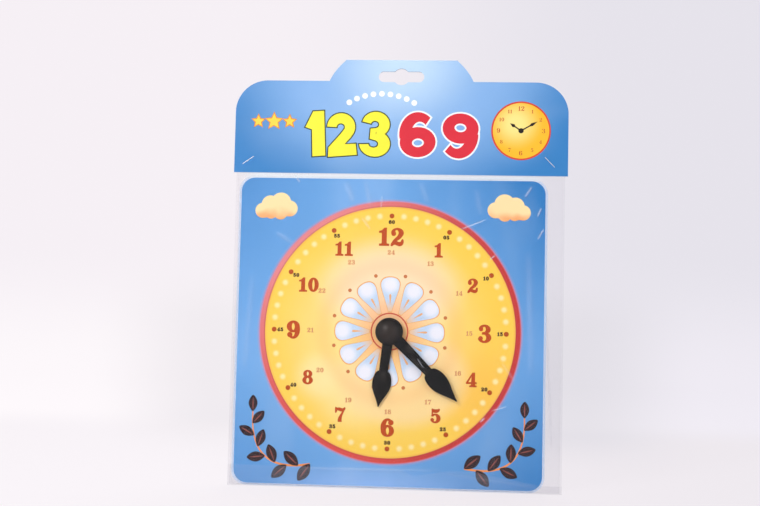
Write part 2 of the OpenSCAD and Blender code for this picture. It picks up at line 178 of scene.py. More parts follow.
class ClockStageSettings(bpy.types.PropertyGroup):
    wall_left: colour_prop("Wall Left", "Backdrop on the left", "f8f2f7")
    wall_right: colour_prop("Wall Right", "Backdrop on the right", "e8e5ed")
    low_left: colour_prop("Low Left", "Foot of the backdrop on the left", "fffafd")
    low_right: colour_prop("Low Right", "Foot of the backdrop on the right", "f1edf5")
    floor_left: colour_prop("Floor Left", "Floor on the left", "faf5f9")
    floor_right: colour_prop("Floor Right", "Floor on the right", "f0ebf0")
    shade_left: colour_prop("Shade Left", "Soft shade behind the pack on the left", "f3eef2")
    shade_right: colour_prop("Shade Right", "Soft shade behind the pack on the right", "e4e1e8")
    horizon: colour_prop("Horizon", "Beyond the edges of the floor", "f3eef3")
    camera_place: bpy.props.FloatVectorProperty(
        name="Camera Place", description="Where the camera stands", subtype="TRANSLATION",
        unit="LENGTH", size=3, default=(0.04543, -0.86137, -0.18902))
    camera_yaw: angle_prop("Camera Yaw", "Turn of the camera to the left", 3.8708)
    camera_pitch: angle_prop("Camera Pitch", "Tilt of the camera upwards", 4.0032)
    camera_roll: angle_prop("Camera Roll", "Roll of the camera", -1.2855)
    camera_lens: bpy.props.FloatProperty(
        name="Lens", description="Focal length in millimetres", subtype="DISTANCE_CAMERA",
        min=1, default=56.842)
    key_power: power_prop("Key Power", "Power of the main lamp, high on the left", 12)
    fill_power: power_prop("Fill Power", "Power of the soft lamp on the right", 4.5)
    back_power: power_prop("Back Power", "Power of the soft lamp high behind", 10)
    sky: bpy.props.FloatProperty(
        name="Sky", description="Strength of the even light all round", min=0, default=0.45)


SETTINGS = {
    "clock_print": ClockPrintSettings,
    "clock_motifs": ClockMotifSettings,
    "clock_card": ClockCardSettings,
    "clock_film": ClockFilmSettings,
    "clock_stage": ClockStageSettings,
}


# Node trees

class Number:
    """Socket that carries a number, so that plain sums with it lay down Math nodes."""

    def __init__(self, socket):
        self.socket = socket
        self.tree = socket.id_data

    def maths(self, operation, other=0.0, last=False, clamp=False):
        """Math node on this number and another, with this one last if asked."""
        a, b = (other, self) if last else (self, other)
        return Number(put(self.tree, "ShaderNodeMath", {0: a, 1: b},
                          operation=operation, use_clamp=clamp).outputs[0])

    def ramp(self, low, high, to_low=0.0, to_high=1.0, kind="SMOOTHSTEP"):
        """Goes from one value to another while this number goes from low to high."""
        return Number(put(self.tree, "ShaderNodeMapRange", {
            "Value": self, "From Min": low, "From Max": high, "To Min": to_low, "To Max": to_high,
        }, interpolation_type=kind).outputs[0])

    def __add__(self, other):
        return self.maths("ADD", other)

    def __sub__(self, other):
        return self.maths("SUBTRACT", other)

    def __rsub__(self, other):
        return self.maths("SUBTRACT", other, last=True)

    def __mul__(self, other):
        return self.maths("MULTIPLY", other)

    def __truediv__(self, other):
        return self.maths("DIVIDE", other)

    def __rtruediv__(self, other):
        return self.maths("DIVIDE", other, last=True)

    def __abs__(self):
        return self.maths("ABSOLUTE")


def fill(node, inputs):
    """Sets or links a node's inputs by name or number."""
    for key, value in inputs.items():
        value = value.socket if isinstance(value, Number) else value
        if isinstance(value, bpy.types.NodeSocket):
            node.id_data.links.new(value, node.inputs[key])
        else:
            node.inputs[key].default_value = value


def put(tree, kind, inputs=None, **settings):
    """Adds a node with its settings and its inputs, in rows across the editor."""
    columns, across, down = 9, 210, 260
    made = tree.nodes.new(kind)
    place = len(tree.nodes)
    made.location = (place % columns * across, -(place // columns) * down)
    for key, value in settings.items():
        setattr(made, key, value)
    fill(made, inputs or {})
    return made


def read(outputs):
    """Output sockets by name, those that carry numbers ready for sums."""
    return {socket.name: Number(socket) if socket.type in ("VALUE", "INT") else socket
            for socket in outputs if socket.name}


def spaced(inputs):
    """Values by the names of their sockets, which have spaces."""
    return {key.replace("_", " "): value for key, value in inputs.items()}


def mixed(share, a, b):
    """Colour between a and b."""
    a, b = (c if isinstance(c, bpy.types.NodeSocket) else (*c, 1.0) for c in (a, b))
    return put(share.tree, "ShaderNodeMix", {0: share, 6: a, 7: b}, data_type="RGBA").outputs[2]


def layered(colour, *layers):
    """Colour with layers over it, each a mask and a colour."""
    for mask, over in layers:
        colour = mixed(mask, colour, over)
    return colour


def place_of(tree):
    return put(tree, "ShaderNodeTexCoord").outputs["Object"]


def axes_of(vector):
    parts = put(vector.id_data, "ShaderNodeSeparateXYZ", {0: vector}).outputs
    return [Number(part) for part in parts]


def between(operation, a, b):
    """Vector made of two vectors."""
    return put(a.id_data, "ShaderNodeVectorMath", {0: a, 1: b}, operation=operation).outputs[0]


def length_of(vector):
    made = put(vector.id_data, "ShaderNodeVectorMath", {0: vector}, operation="LENGTH")
    return Number(made.outputs["Value"])


def length_across(a, b):
    """Length of the vector with two given sides."""
    return length_of(put(a.tree, "ShaderNodeCombineXYZ", {0: a, 2: b}).outputs[0])


def noise_at(place, scale, detail, **more):
    """Soft random number that changes over the piece."""
    inputs = {"Vector": place, "Scale": scale, "Detail": detail, **more}
    return Number(put(place.id_data, "ShaderNodeTexNoise", inputs).outputs[0])


def stretched(place, scale, turn=(0.0, 0.0, 0.0)):
    """Place whose axes are scaled and turned, for patterns that run one way."""
    inputs = {"Vector": place, "Scale": scale, "Rotation": turn}
    return put(place.id_data, "ShaderNodeMapping", inputs).outputs[0]


def group_tree(name, inputs, outputs, kind="ShaderNodeTree"):
    """New node group with its sockets: its tree, the values it is given and its output node."""
    tree = bpy.data.node_groups.new(name, kind)
    for label, sort, value in inputs:
        socket = tree.interface.new_socket(label, in_out="INPUT", socket_type="NodeSocket" + sort)
        if value is not None:
            socket.default_value = value
    for label, sort in outputs:
        tree.interface.new_socket(label, in_out="OUTPUT", socket_type="NodeSocket" + sort)
    return tree, read(tree.nodes.new("NodeGroupInput").outputs), tree.nodes.new("NodeGroupOutput")


def use(tree, name, **inputs):
    """Places a shared group in a material and reads what it hands out."""
    return read(put(tree, "ShaderNodeGroup", spaced(inputs), node_tree=bpy.data.node_groups[name]).outputs)


def printed_paper_group():
    """Offset print on coated paper: uneven ink, fine fibre and a little wear in the gloss."""
    tree, given, out = group_tree(
        "Printed Paper",
        [("Place", "Vector", None), ("Colour", "Color", (1, 1, 1, 1)), ("Mottle", "Float", 0.04),
         ("Gloss", "Float", 0.42)],
        [("Colour", "Color"), ("Roughness", "Float"), ("Height", "Float")])
    cloudy = noise_at(given["Place"], 38.0, 3.0)
    fine = noise_at(given["Place"], 900.0, 2.0)
    fibre = noise_at(given["Place"], 2600.0, 2.0)
    level = (cloudy * 0.65 + fine * 0.35 - 0.5) * given["Mottle"] * 2.0 + 1.0
    toned = put(tree, "ShaderNodeVectorMath", {0: given["Colour"], 3: level}, operation="SCALE")
    rough = given["Gloss"] + (cloudy - 0.5) * 0.22
    fill(out, {"Colour": toned.outputs[0], "Roughness": rough, "Height": fibre})


def soft_spot_group():
    """Mask that is 1 round a centre and eases to 0 further out."""
    _, given, out = group_tree(
        "Soft Spot",
        [("Place", "Vector", None), ("Centre", "Vector", None), ("Stretch", "Vector", (1, 0, 1)),
         ("Inside", "Float", 0.01), ("Outside", "Float", 0.05)],
        [("Mask", "Float"), ("Distance", "Float")])
    away = between("SUBTRACT", given["Place"], given["Centre"])
    distance = length_of(between("MULTIPLY", away, given["Stretch"]))
    fill(out, {"Mask": distance.ramp(given["Inside"], given["Outside"], 1.0, 0.0), "Distance": distance})


def dot_ring_group():
    """Distance to the nearest of the dots that stand in a ring."""
    _, given, out = group_tree(
        "Dot Ring",
        [("Place", "Vector", None), ("Centre", "Vector", None), ("Radius", "Float", 0.08),
         ("Count", "Float", 60.0)],
        [("Distance", "Float")])
    x, _, z = axes_of(between("SUBTRACT", given["Place"], given["Centre"]))
    step = math.tau / given["Count"]
    nearest = (x.maths("ARCTAN2", z) / step).maths("ROUND") * step
    off_x = x - nearest.maths("SINE") * given["Radius"]
    off_z = z - nearest.maths("COSINE") * given["Radius"]
    fill(out, {"Distance": length_across(off_x, off_z)})


def round_edge_group():
    """Distance in from the outline of a rectangle with round corners."""
    _, given, out = group_tree(
        "Round Edge",
        [("Place", "Vector", None), ("Centre", "Vector", None), ("Half Width", "Float", 0.1),
         ("Half Height", "Float", 0.1), ("Corner", "Float", 0.01)],
        [("Depth", "Float")])
    x, _, z = axes_of(between("SUBTRACT", given["Place"], given["Centre"]))
    past_x, past_z = ((abs(value) - (half - given["Corner"])).maths("MAXIMUM")
                      for value, half in ((x, given["Half Width"]), (z, given["Half Height"])))
    fill(out, {"Depth": given["Corner"] - length_across(past_x, past_z)})


def moulded_plastic_group():
    """Injection-moulded black plastic: faint flow, fine grain and dusty scuffs."""
    tree, given, out = group_tree(
        "Moulded Plastic",
        [("Place", "Vector", None), ("Colour", "Color", (0.02, 0.02, 0.02, 1)),
         ("Dust", "Color", (0.2, 0.18, 0.16, 1)), ("Wear", "Float", 0.2), ("Gloss", "Float", 0.32)],
        [("Colour", "Color"), ("Roughness", "Float"), ("Height", "Float")])
    flow = noise_at(given["Place"], 120.0, 3.0)
    grain = noise_at(given["Place"], 2400.0, 2.0)
    specks = put(tree, "ShaderNodeTexVoronoi", {"Vector": given["Place"], "Scale": 900.0})
    speck = Number(specks.outputs["Distance"]).ramp(0.03, 0.12, 1.0, 0.0)
    patch = flow.ramp(0.5, 0.72)
    dusty = (patch * 0.5 + speck * 0.5) * given["Wear"]
    fill(out, {"Colour": mixed(dusty, given["Colour"], given["Dust"]),
               "Roughness": given["Gloss"] + patch * 0.14, "Height": grain * 0.35 + flow})


def film_crease_group():
    """Fine pulls and scuffs in thin film, on top of the creases in its mesh, whose painted glints it adds to
    the alpha.
    """
    _, given, out = group_tree(
        "Film Creases",
        [("Place", "Vector", None), ("Crease", "Float", 0.0), ("Haze", "Float", 0.05),
         ("Glint", "Float", 0.5)],
        [("Alpha", "Float"), ("Roughness", "Float"), ("Height", "Float")])
    drawn = stretched(given["Place"], (60.0, 60.0, 9.0), (0.0, 0.25, 0.0))
    pulls = noise_at(drawn, 1.0, 4.0, Distortion=0.6)
    scuff = noise_at(given["Place"], 700.0, 3.0).ramp(0.64, 0.8)
    veil = given["Haze"] + pulls.ramp(0.6, 0.78) * 0.018 + scuff * 0.01
    fill(out, {"Alpha": veil.maths("ADD", given["Crease"] * given["Glint"], clamp=True),
               "Roughness": scuff * 0.2 + 0.14, "Height": pulls})


# Materials

class Finish:
    """New material with one Principled BSDF, which reads the place on its piece."""

    def __init__(self, name, slot):
        self.material = bpy.data.materials.new(name)
        self.material.use_nodes = True
        self.material["slot"] = slot
        self.tree = self.material.node_tree
        self.tree.nodes.clear()
        self.shader = self.tree.nodes.new("ShaderNodeBsdfPrincipled")
        self.shader.location = (1900, 0)
        out = put(self.tree, "ShaderNodeOutputMaterial", {0: self.shader.outputs[0]})
        out.location = (2200, 0)
        self.place = place_of(self.tree)

    def spot(self, x, z, inside, outside, stretch=(1, 0, 1), middle=DIAL):
        """Mask that is 1 round a point beside a middle and eases to 0, in mm."""
        return use(self.tree, "Soft Spot", Place=self.place, Centre=middle + Vector((x, 0, z)) * MM,
                   Stretch=stretch, Inside=inside * MM, Outside=outside * MM)["Mask"]

    def distance(self, centre=DIAL, stretch=(1, 0, 1)):
        return use(self.tree, "Soft Spot", Place=self.place, Centre=centre, Stretch=stretch)["Distance"]

    def nearest_dot(self, count, radius=DOT_CIRCLE_R):
        """Distance to the nearest dot of a ring round the dial's middle."""
        return use(self.tree, "Dot Ring", Place=self.place, Centre=DIAL, Radius=radius,
                   Count=float(count))["Distance"]

    def depth_in(self, node):
        """Distance in from the outline of a sheet of the board."""
        low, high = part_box(node)
        return use(self.tree, "Round Edge", Place=self.place, Centre=DIAL, Half_Width=(high.x - low.x) / 2,
                   Half_Height=(high.z - low.z) / 2, Corner=CORNER_R)["Depth"]

    def set(self, **inputs):
        fill(self.shader, spaced(inputs))

    def bump(self, height, strength, distance):
        made = put(self.tree, "ShaderNodeBump",
                   {"Height": height, "Strength": strength, "Distance": distance})
        self.set(Normal=made.outputs[0])

    def printed(self, colour, mottle, gloss=0.42, **more):
        """Ends the material in the shared paper group."""
        paper = use(self.tree, "Printed Paper", Place=self.place, Colour=colour, Mottle=mottle, Gloss=gloss)
        self.set(Base_Color=paper["Colour"], Roughness=paper["Roughness"], Specular_IOR_Level=0.35, **more)
        self.bump(paper["Height"], 0.12, 0.00004)
        return self.material


def flat_ink(name, slot, colour, mottle, gloss=0.42):
    """Material of a single ink."""
    return Finish(name, slot).printed((*colour, 1.0), mottle, gloss)


def dress(name, material):
    """Gives a CAD node its material."""
    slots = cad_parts[name].material_slots
    if not slots:
        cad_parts[name].data.materials.append(material)
    for slot in slots:
        slot.material = material


# Flat shapes, as lists of outlines that may overlap

def arc(x, z, rx, rz, start, end, steps=20):
    turns = [math.radians(start + (end - start) * i / steps) for i in range(steps + 1)]
    return [(x + rx * math.cos(turn), z + rz * math.sin(turn)) for turn in turns]


def disc(x, z, r, steps=20):
    return [arc(x, z, r, r, 0, 360, steps)[:-1]]


def band(one_side, other_side):
    """Outlines that fill the strip between two lines of as many points."""
    return [[one_side[i], one_side[i + 1], other_side[i + 1], other_side[i]]
            for i in range(len(one_side) - 1)]


def bowl(outer, inner, start=0, end=360, steps=28):
    """Round stroke between two ellipses, each given by its middle and its radii."""
    return band(arc(*outer, start, end, steps), arc(*inner, start, end, steps))


def smooth(points, steps=5, closed=True):
    """Round line through the points."""
    count = len(points)
    line = []
    for i in range(count if closed else count - 1):
        a, b, c, d = (points[(i + k) % count if closed else min(max(i + k, 0), count - 1)]
                      for k in (-1, 0, 1, 2))
        for step in range(steps):
            t = step / steps
            line.append(tuple(
                0.5 * (2 * b[k] + (c[k] - a[k]) * t + (2 * a[k] - 5 * b[k] + 4 * c[k] - d[k]) * t * t
                       + (3 * b[k] - a[k] - 3 * c[k] + d[k]) * t ** 3) for k in (0, 1)))
    if not closed:
        line.append(points[-1])
    return line


def ribbon(line, width, end_width):
    """Strip along a line, with its width at the start and at the end."""
    left, right = [], []
    for i, (x, z) in enumerate(line):
        x0, z0 = line[max(i - 1, 0)]
        x1, z1 = line[min(i + 1, len(line) - 1)]
        long = math.hypot(x1 - x0, z1 - z0) or 1
        half = (width + (end_width - width) * i / (len(line) - 1)) / 2
        nx, nz = -(z1 - z0) / long * half, (x1 - x0) / long * half
        left.append((x + nx, z + nz))
        right.append((x - nx, z - nz))
    return band(left, right)


def blade(half, start, end, width):
    """Petal or leaf that points up; its right half is given in shares of the half width and the length."""
    right = [(width / 2 * w, start + (end - start) * s) for w, s in half]
    return [smooth([(0, start), *right, (0, end), *((-x, z) for x, z in reversed(right))], 4)]


def placed(outlines, size=1.0, at=(0, 0), turn=0.0):
    """Outlines scaled, turned clockwise by degrees and moved."""
    c, s = math.cos(math.radians(turn)), math.sin(math.radians(turn))
    return [[(at[0] + size * (x * c + z * s), at[1] + size * (z * c - x * s)) for x, z in outline]
            for outline in outlines]


def joined(outlines):
    """Points and triangles of the area that the outlines cover; four-sided ones are halved first."""
    points, faces = [], []
    halves = [half for outline in outlines
              for half in ((outline[:3], [outline[0], *outline[2:]]) if len(outline) == 4 else (outline,))]
    for outline in halves:
        area = sum(a[0] * b[1] - b[0] * a[1] for a, b in zip(outline, outline[1:] + outline[:1]))
        if abs(area) < 1e-7:
            continue
        start = len(points)
        points += [Vector(p) for p in (outline if area > 0 else outline[::-1])]
        faces.append(list(range(start, len(points))))
    found = geometry.delaunay_2d_cdt(points, [], faces, 1, 1e-4)
    return found[0], [face for face, owners in zip(found[2], found[5]) if owners]


def border_of(faces):
    """Edges that only one face has, each in that face's direction."""
    directed = {(face[i], face[(i + 1) % len(face)]) for face in faces for i in range(len(face))}
    return sorted((a, b) for a, b in directed if (b, a) not in directed)


def outline_of(outlines, width):
    """The outlines thickened all round by a width, with mitred corners."""
    points, faces = joined(outlines)
    border = border_of(faces)
    outward = {}
    for a, b in border:
        along = points[b] - points[a]
        for v in (a, b):
            outward[v] = outward.get(v, Vector((0, 0))) + Vector((along.y, -along.x)).normalized()
    moved = {v: points[v] + n.normalized() * width / max(n.length / 2, 0.6) for v, n in outward.items()}
    rim = [[tuple(p) for p in (points[a], moved[a], moved[b], points[b])] for a, b in border]
    return list(outlines) + rim


def mesh_of(name, points, faces):
    mesh = bpy.data.meshes.new(name)
    mesh.from_pydata(points, [], faces)
    mesh.update()
    return mesh


def closed_faces(faces, count):
    """Faces of a sheet in front, the same ones behind and a wall along the border."""
    behind = [tuple(v + count for v in reversed(face)) for face in faces]
    walls = [(b, a, a + count, b + count) for a, b in border_of(faces)]
    return [tuple(face) for face in faces] + behind + walls


def slab(name, outlines, centre, back_y, thickness):
    """Closed plate in metres from flat outlines in millimetres; it faces -Y."""
    flat, faces = joined(outlines)
    points = [(centre.x + p[0] * MM, y, centre.z + p[1] * MM)
              for y in (back_y - thickness, back_y) for p in flat]
    return mesh_of(name, points, closed_faces(faces, len(flat)))


def linked(name, data):
    """New object in the scene."""
    made = bpy.data.objects.new(name, data)
    bpy.context.scene.collection.objects.link(made)
    return made


def place_piece(name, mesh, material, replaces=()):
    """Links a finished mesh as a piece of the object."""
    mesh.materials.clear()
    mesh.materials.append(material)
    made = linked(name, mesh)
    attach(made, PACK)
    if replaces:
        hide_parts(*replaces)


def place_print(name, outlines, centre, back_y, thickness, material):
    """Prints flat outlines as a thin plate."""
    place_piece(name, slab(name, outlines, centre, back_y, thickness), material)


# Geometry nodes for what repeats

def geometry_tree(name, inputs):
    return group_tree(name, [("Shape", "Geometry", None), *inputs], [("Copies", "Geometry")],
                      "GeometryNodeTree")


def end_copies(tree, given, out, points, turn, **more):
    """Puts the shape, turned, on the points and ends the tree in real mesh with its finish."""
    rotation = put(tree, "ShaderNodeCombineXYZ", {1: turn}).outputs[0]
    inputs = {"Points": points, "Instance": given["Shape"], "Rotation": rotation, **more}
    copies = put(tree, "GeometryNodeInstanceOnPoints", inputs)
    real = put(tree, "GeometryNodeRealizeInstances", {"Geometry": copies.outputs[0]})
    finish = put(tree, "GeometryNodeSetMaterial", {"Geometry": real.outputs[0], "Material": given["Finish"]})
    fill(out, {0: finish.outputs[0]})


def ring_of_copies():
    """Copies of a shape turned round a centre, clockwise from the front."""
    tree, given, out = geometry_tree(
        "Ring of Copies",
        [("Count", "Int", 12), ("Centre", "Vector", None), ("First Angle", "Float", 0.0),
         ("Step Angle", "Float", 0.5), ("Finish", "Material", None)])
    points = put(tree, "GeometryNodePoints", {"Count": given["Count"], "Position": given["Centre"]})
    index = Number(put(tree, "GeometryNodeInputIndex").outputs[0])
    end_copies(tree, given, out, points.outputs[0], given["First Angle"] + index * given["Step Angle"])


def leaves_on_a_stem():
    """Copies of a leaf on both sides of a curved stem, smaller towards its end."""
    tree, given, out = geometry_tree(
        "Leaves on a Stem",
        [("Start", "Vector", None), ("Middle", "Vector", None), ("End", "Vector", None),
         ("Leaves", "Int", 7), ("Spread", "Float", 0.8), ("End Size", "Float", 0.6),
         ("Finish", "Material", None)])
    stem = put(tree, "GeometryNodeCurveQuadraticBezier",
               {"Resolution": 32, "Start": given["Start"], "Middle": given["Middle"], "End": given["End"]})
    even = put(tree, "GeometryNodeResampleCurve", {"Curve": stem.outputs[0], "Count": given["Leaves"]})
    x, _, z = axes_of(put(tree, "GeometryNodeInputTangent").outputs[0])
    index = Number(put(tree, "GeometryNodeInputIndex").outputs[0])
    last = index.maths("GREATER_THAN", given["Leaves"] - 1.5)
    side = (index.maths("MODULO", 2.0) * 2.0 - 1.0) * (1.0 - last)
    turn = x.maths("ARCTAN2", z) + side * given["Spread"]
    size = index / (given["Leaves"] - 1.0) * (given["End Size"] - 1.0) + 1.0
    end_copies(tree, given, out, even.outputs[0], turn, Scale=size)


def repeated(name, mesh, tree_name, material, **inputs):
    """Runs a geometry tree on a mesh and returns the plain mesh that comes out."""
    tree = bpy.data.node_groups[tree_name]
    shape = linked(name + "_shape", mesh)
    modifier = shape.modifiers.new("Copies", "NODES")
    modifier.node_group = tree
    sockets = {item.name: item.identifier for item in tree.interface.items_tree if item.in_out == "INPUT"}
    for label, value in {**spaced(inputs), "Finish": material}.items():
        modifier[sockets[label]] = value
    shape.update_tag()
    evaluated = shape.evaluated_get(bpy.context.evaluated_depsgraph_get())
    made = bpy.data.meshes.new_from_object(evaluated)
    made.name = name
    shape.modifiers.remove(modifier)
    bpy.data.objects.remove(shape)
    return made


def place_copies(name, outlines, back_y, thickness, tree_name, material, **inputs):
    """Prints copies of flat outlines where a geometry tree puts them."""
    flat = slab(name, outlines, Vector(), back_y, thickness)
    place_piece(name, repeated(name, flat, tree_name, material, **inputs), material)


# Numerals, each as its width and its outlines, 1 high

def half_turned(width, outlines):
    """A digit turned upside down, which makes 6 a 9."""
    return width, [[(width - x, 1 - z) for x, z in outline] for outline in outlines]


# Bold numerals with thick sides, thin joins and slab serifs
SERIF_DIGITS = {
    "0": (0.72, bowl((0.36, 0.5, 0.36, 0.5), (0.36, 0.5, 0.132, 0.443), steps=32)),
    "1": (0.56, [
        smooth([(0.02, 0.815), (0.11, 0.83), (0.2, 0.885), (0.27, 0.965)], 4, False)
        + [(0.31, 1.0), (0.395, 1.0), (0.395, 0.05), (0.185, 0.05), (0.185, 0.78), (0.02, 0.775)],
        [(0.03, 0.0), (0.55, 0.0), (0.55, 0.045), (0.47, 0.055), (0.41, 0.085), (0.395, 0.14),
         (0.185, 0.14), (0.17, 0.085), (0.11, 0.055), (0.03, 0.045)]]),
    "2": (0.73, disc(0.135, 0.7, 0.1) + bowl(
        (0.355, 0.735, 0.335, 0.265), (0.315, 0.745, 0.155, 0.215), 165, -40, 20) + band(
        smooth([arc(0.355, 0.735, 0.335, 0.265, 165, -40)[-1], (0.5, 0.42), (0.28, 0.27), (0.12, 0.1)],
               closed=False),
        smooth([arc(0.315, 0.745, 0.155, 0.215, 165, -40)[-1], (0.34, 0.47), (0.14, 0.28), (0.02, 0.02)],
               closed=False)) + [
        smooth([(0.0, 0.0), (0.04, 0.12), (0.13, 0.21), (0.25, 0.23), (0.38, 0.18), (0.5, 0.155),
                (0.6, 0.2), (0.64, 0.31), (0.685, 0.31), (0.69, 0.16), (0.62, 0.035), (0.5, -0.012),
                (0.38, 0.015), (0.25, 0.07), (0.14, 0.065), (0.06, 0.0)], 4)]),
    "3": (0.72, disc(0.125, 0.765, 0.08) + disc(0.105, 0.225, 0.09)
          + bowl((0.335, 0.755, 0.31, 0.245), (0.31, 0.76, 0.14, 0.2), 160, -95, 20)
          + bowl((0.335, 0.27, 0.355, 0.27), (0.3, 0.268, 0.175, 0.225), 95, -160, 20)
          + [[(0.22, 0.5), (0.42, 0.5), (0.42, 0.545), (0.22, 0.545)]]),
    "4": (0.72, [
        [(0.39, 0.08), (0.59, 0.08), (0.59, 1.0), (0.5, 1.0), (0.39, 0.84)],
        [(0.0, 0.235), (0.72, 0.235), (0.72, 0.29), (0.0, 0.29)],
        [(0.0, 0.235), (0.07, 0.29), (0.45, 0.9), (0.53, 1.0), (0.46, 1.0), (0.0, 0.29)],
        [(0.26, 0.0), (0.72, 0.0), (0.72, 0.045), (0.62, 0.06), (0.59, 0.13), (0.39, 0.13),
         (0.36, 0.06), (0.26, 0.045)]]),
    "5": (0.71, disc(0.11, 0.215, 0.09) + [
        [(0.095, 0.5), (0.14, 0.5), (0.145, 0.99), (0.1, 0.99)],
        smooth([(0.1, 1.0), (0.2, 0.965), (0.34, 0.95), (0.5, 0.965), (0.62, 1.0), (0.6, 0.88),
                (0.5, 0.79), (0.36, 0.765), (0.22, 0.79), (0.12, 0.84)], 4)]
          + bowl((0.345, 0.32, 0.345, 0.32), (0.3, 0.32, 0.17, 0.272), 140, -160, 20)),
    "6": (0.72, bowl((0.36, 0.5, 0.36, 0.5), (0.375, 0.5, 0.165, 0.452), 62, 270, 20)
          + bowl((0.365, 0.31, 0.345, 0.31), (0.365, 0.31, 0.135, 0.262))
          + disc(0.56, 0.795, 0.115)),
    "7": (0.72, [
        smooth([(0.02, 1.0), (0.065, 1.0), (0.12, 0.965), (0.22, 0.985), (0.34, 0.98), (0.5, 0.925),
                (0.62, 0.95), (0.67, 1.0), (0.71, 1.0), (0.7, 0.9), (0.6, 0.8), (0.46, 0.77),
                (0.32, 0.81), (0.18, 0.855), (0.09, 0.8), (0.06, 0.69), (0.02, 0.69)], 4)] + band(
        smooth([(0.71, 0.98), (0.6, 0.72), (0.49, 0.45), (0.445, 0.2), (0.45, 0.0)], closed=False),
        smooth([(0.65, 0.87), (0.48, 0.6), (0.33, 0.36), (0.245, 0.16), (0.24, 0.0)], closed=False))),
    "8": (0.71, bowl((0.355, 0.75, 0.3, 0.25), (0.355, 0.76, 0.125, 0.2))
          + bowl((0.355, 0.275, 0.355, 0.275), (0.355, 0.27, 0.15, 0.225))),
}
SERIF_DIGITS["9"] = half_turned(*SERIF_DIGITS["6"])

# Heavy plain numerals of the header card
BLOCK_DIGITS = {
    "1": (0.5, [[(0.0, 0.66), (0.21, 1.0), (0.48, 1.0), (0.46, 0.0), (0.14, 0.0), (0.16, 0.6)]]),
    "2": (0.74, bowl((0.36, 0.68, 0.36, 0.32), (0.35, 0.675, 0.105, 0.09), 176, -30, 18) + band(
        [arc(0.36, 0.68, 0.36, 0.32, 176, -30)[-1], (0.6, 0.43), (0.5, 0.34), (0.42, 0.26)],
        [arc(0.35, 0.675, 0.105, 0.09, 176, -30)[-1], (0.34, 0.52), (0.17, 0.36), (0.02, 0.22)])
          + [[(0.02, 0.22), (0.0, 0.0), (0.74, 0.02), (0.72, 0.28), (0.3, 0.28)]]),
    "3": (0.74, bowl((0.35, 0.72, 0.34, 0.28), (0.33, 0.715, 0.1, 0.08), 172, -80, 18)
          + bowl((0.36, 0.29, 0.38, 0.29), (0.33, 0.285, 0.12, 0.085), 85, -172, 18)
          + [[(0.23, 0.39), (0.37, 0.365), (0.37, 0.64), (0.23, 0.615)]]),
    "6": (0.77, bowl((0.385, 0.335, 0.38, 0.335), (0.39, 0.32, 0.125, 0.095))
          + bowl((0.4, 0.5, 0.4, 0.5), (0.44, 0.5, 0.185, 0.285), 47, 188, 18)),
}
BLOCK_DIGITS["9"] = half_turned(*BLOCK_DIGITS["6"])


def numeral(text, height, at, weight):
    """Outlines of a number, centred on a point, its strokes thickened by a share of its height."""
    shapes = [SERIF_DIGITS[digit] for digit in text]
    size = height * (1 - 2 * weight)
    gap = 0.07 + 2 * weight
    total = sum(width for width, _ in shapes) + gap * (len(text) - 1)
    outlines, x = [], -total / 2
    for width, shape in shapes:
        outlines += placed(shape, size, (at[0] + x * size, at[1] - size / 2))
        x += width + gap
    return outline_of(outlines, height * weight) if weight else outlines


def round_the_dial(labels, radius, main_size, size, weight=0.0, shifts=None):
    """Outlines of numbers upright round the dial from twelve on; every third has the main size."""
    outlines = []
    for i, text in enumerate(labels):
        turn = math.tau * i / len(labels)
        x, z = (shifts or {}).get(text, (0, 0))
        at = (radius * math.sin(turn) + x, radius * math.cos(turn) + z)
        outlines += numeral(text, size if i % 3 else main_size, at, weight)
    return outlines


# The printed board

def board_sheet_material(p):
    sheet = Finish("board print", "blue_print")
    x, _, z = axes_of(between("SUBTRACT", sheet.place, DIAL))
    corner = (abs(x + 0.020) * abs(z + 0.012)).ramp(0.0008, 0.0165, kind="LINEAR")
    deep = corner.maths("ADD", x.ramp(0.06, 0.115, 0.0, 0.2), clamp=True)
    streaks = noise_at(stretched(sheet.place, (22.0, 1.0, 7.0)), 1.0, 2.0)
    # Whiter within a fraction of a millimetre of the sheet's edge
    lightened = sheet.depth_in("face_sheet").ramp(0.03 * MM, 0.22 * MM, 0.6, 0.0)
    cut = axes_of(sheet.place)[1].ramp(SHEET_Y + 0.01 * MM, SHEET_Y + 0.03 * MM, kind="LINEAR")
    colour = layered(
        p.board_light,
        (deep, p.board_deep),
        # Painted sheen of the film low on the board
        (sheet.spot(-12, -118, 8, 45, (0.5, 0, 1.6)) * 0.7, p.board_pale),
        (streaks.ramp(0.48, 0.75, 0.0, 0.1), (0.72, 0.84, 0.97)),
        (sheet.spot(0, 0, 93.2, 96.2) * 0.65, ink("c987a8")),
        (lightened, ink("e9f1fb")),
        (cut, ink("f3f2ee")))
    return sheet.printed(colour, 0.03, 0.34, Coat_Weight=0.25, Coat_Roughness=0.12)


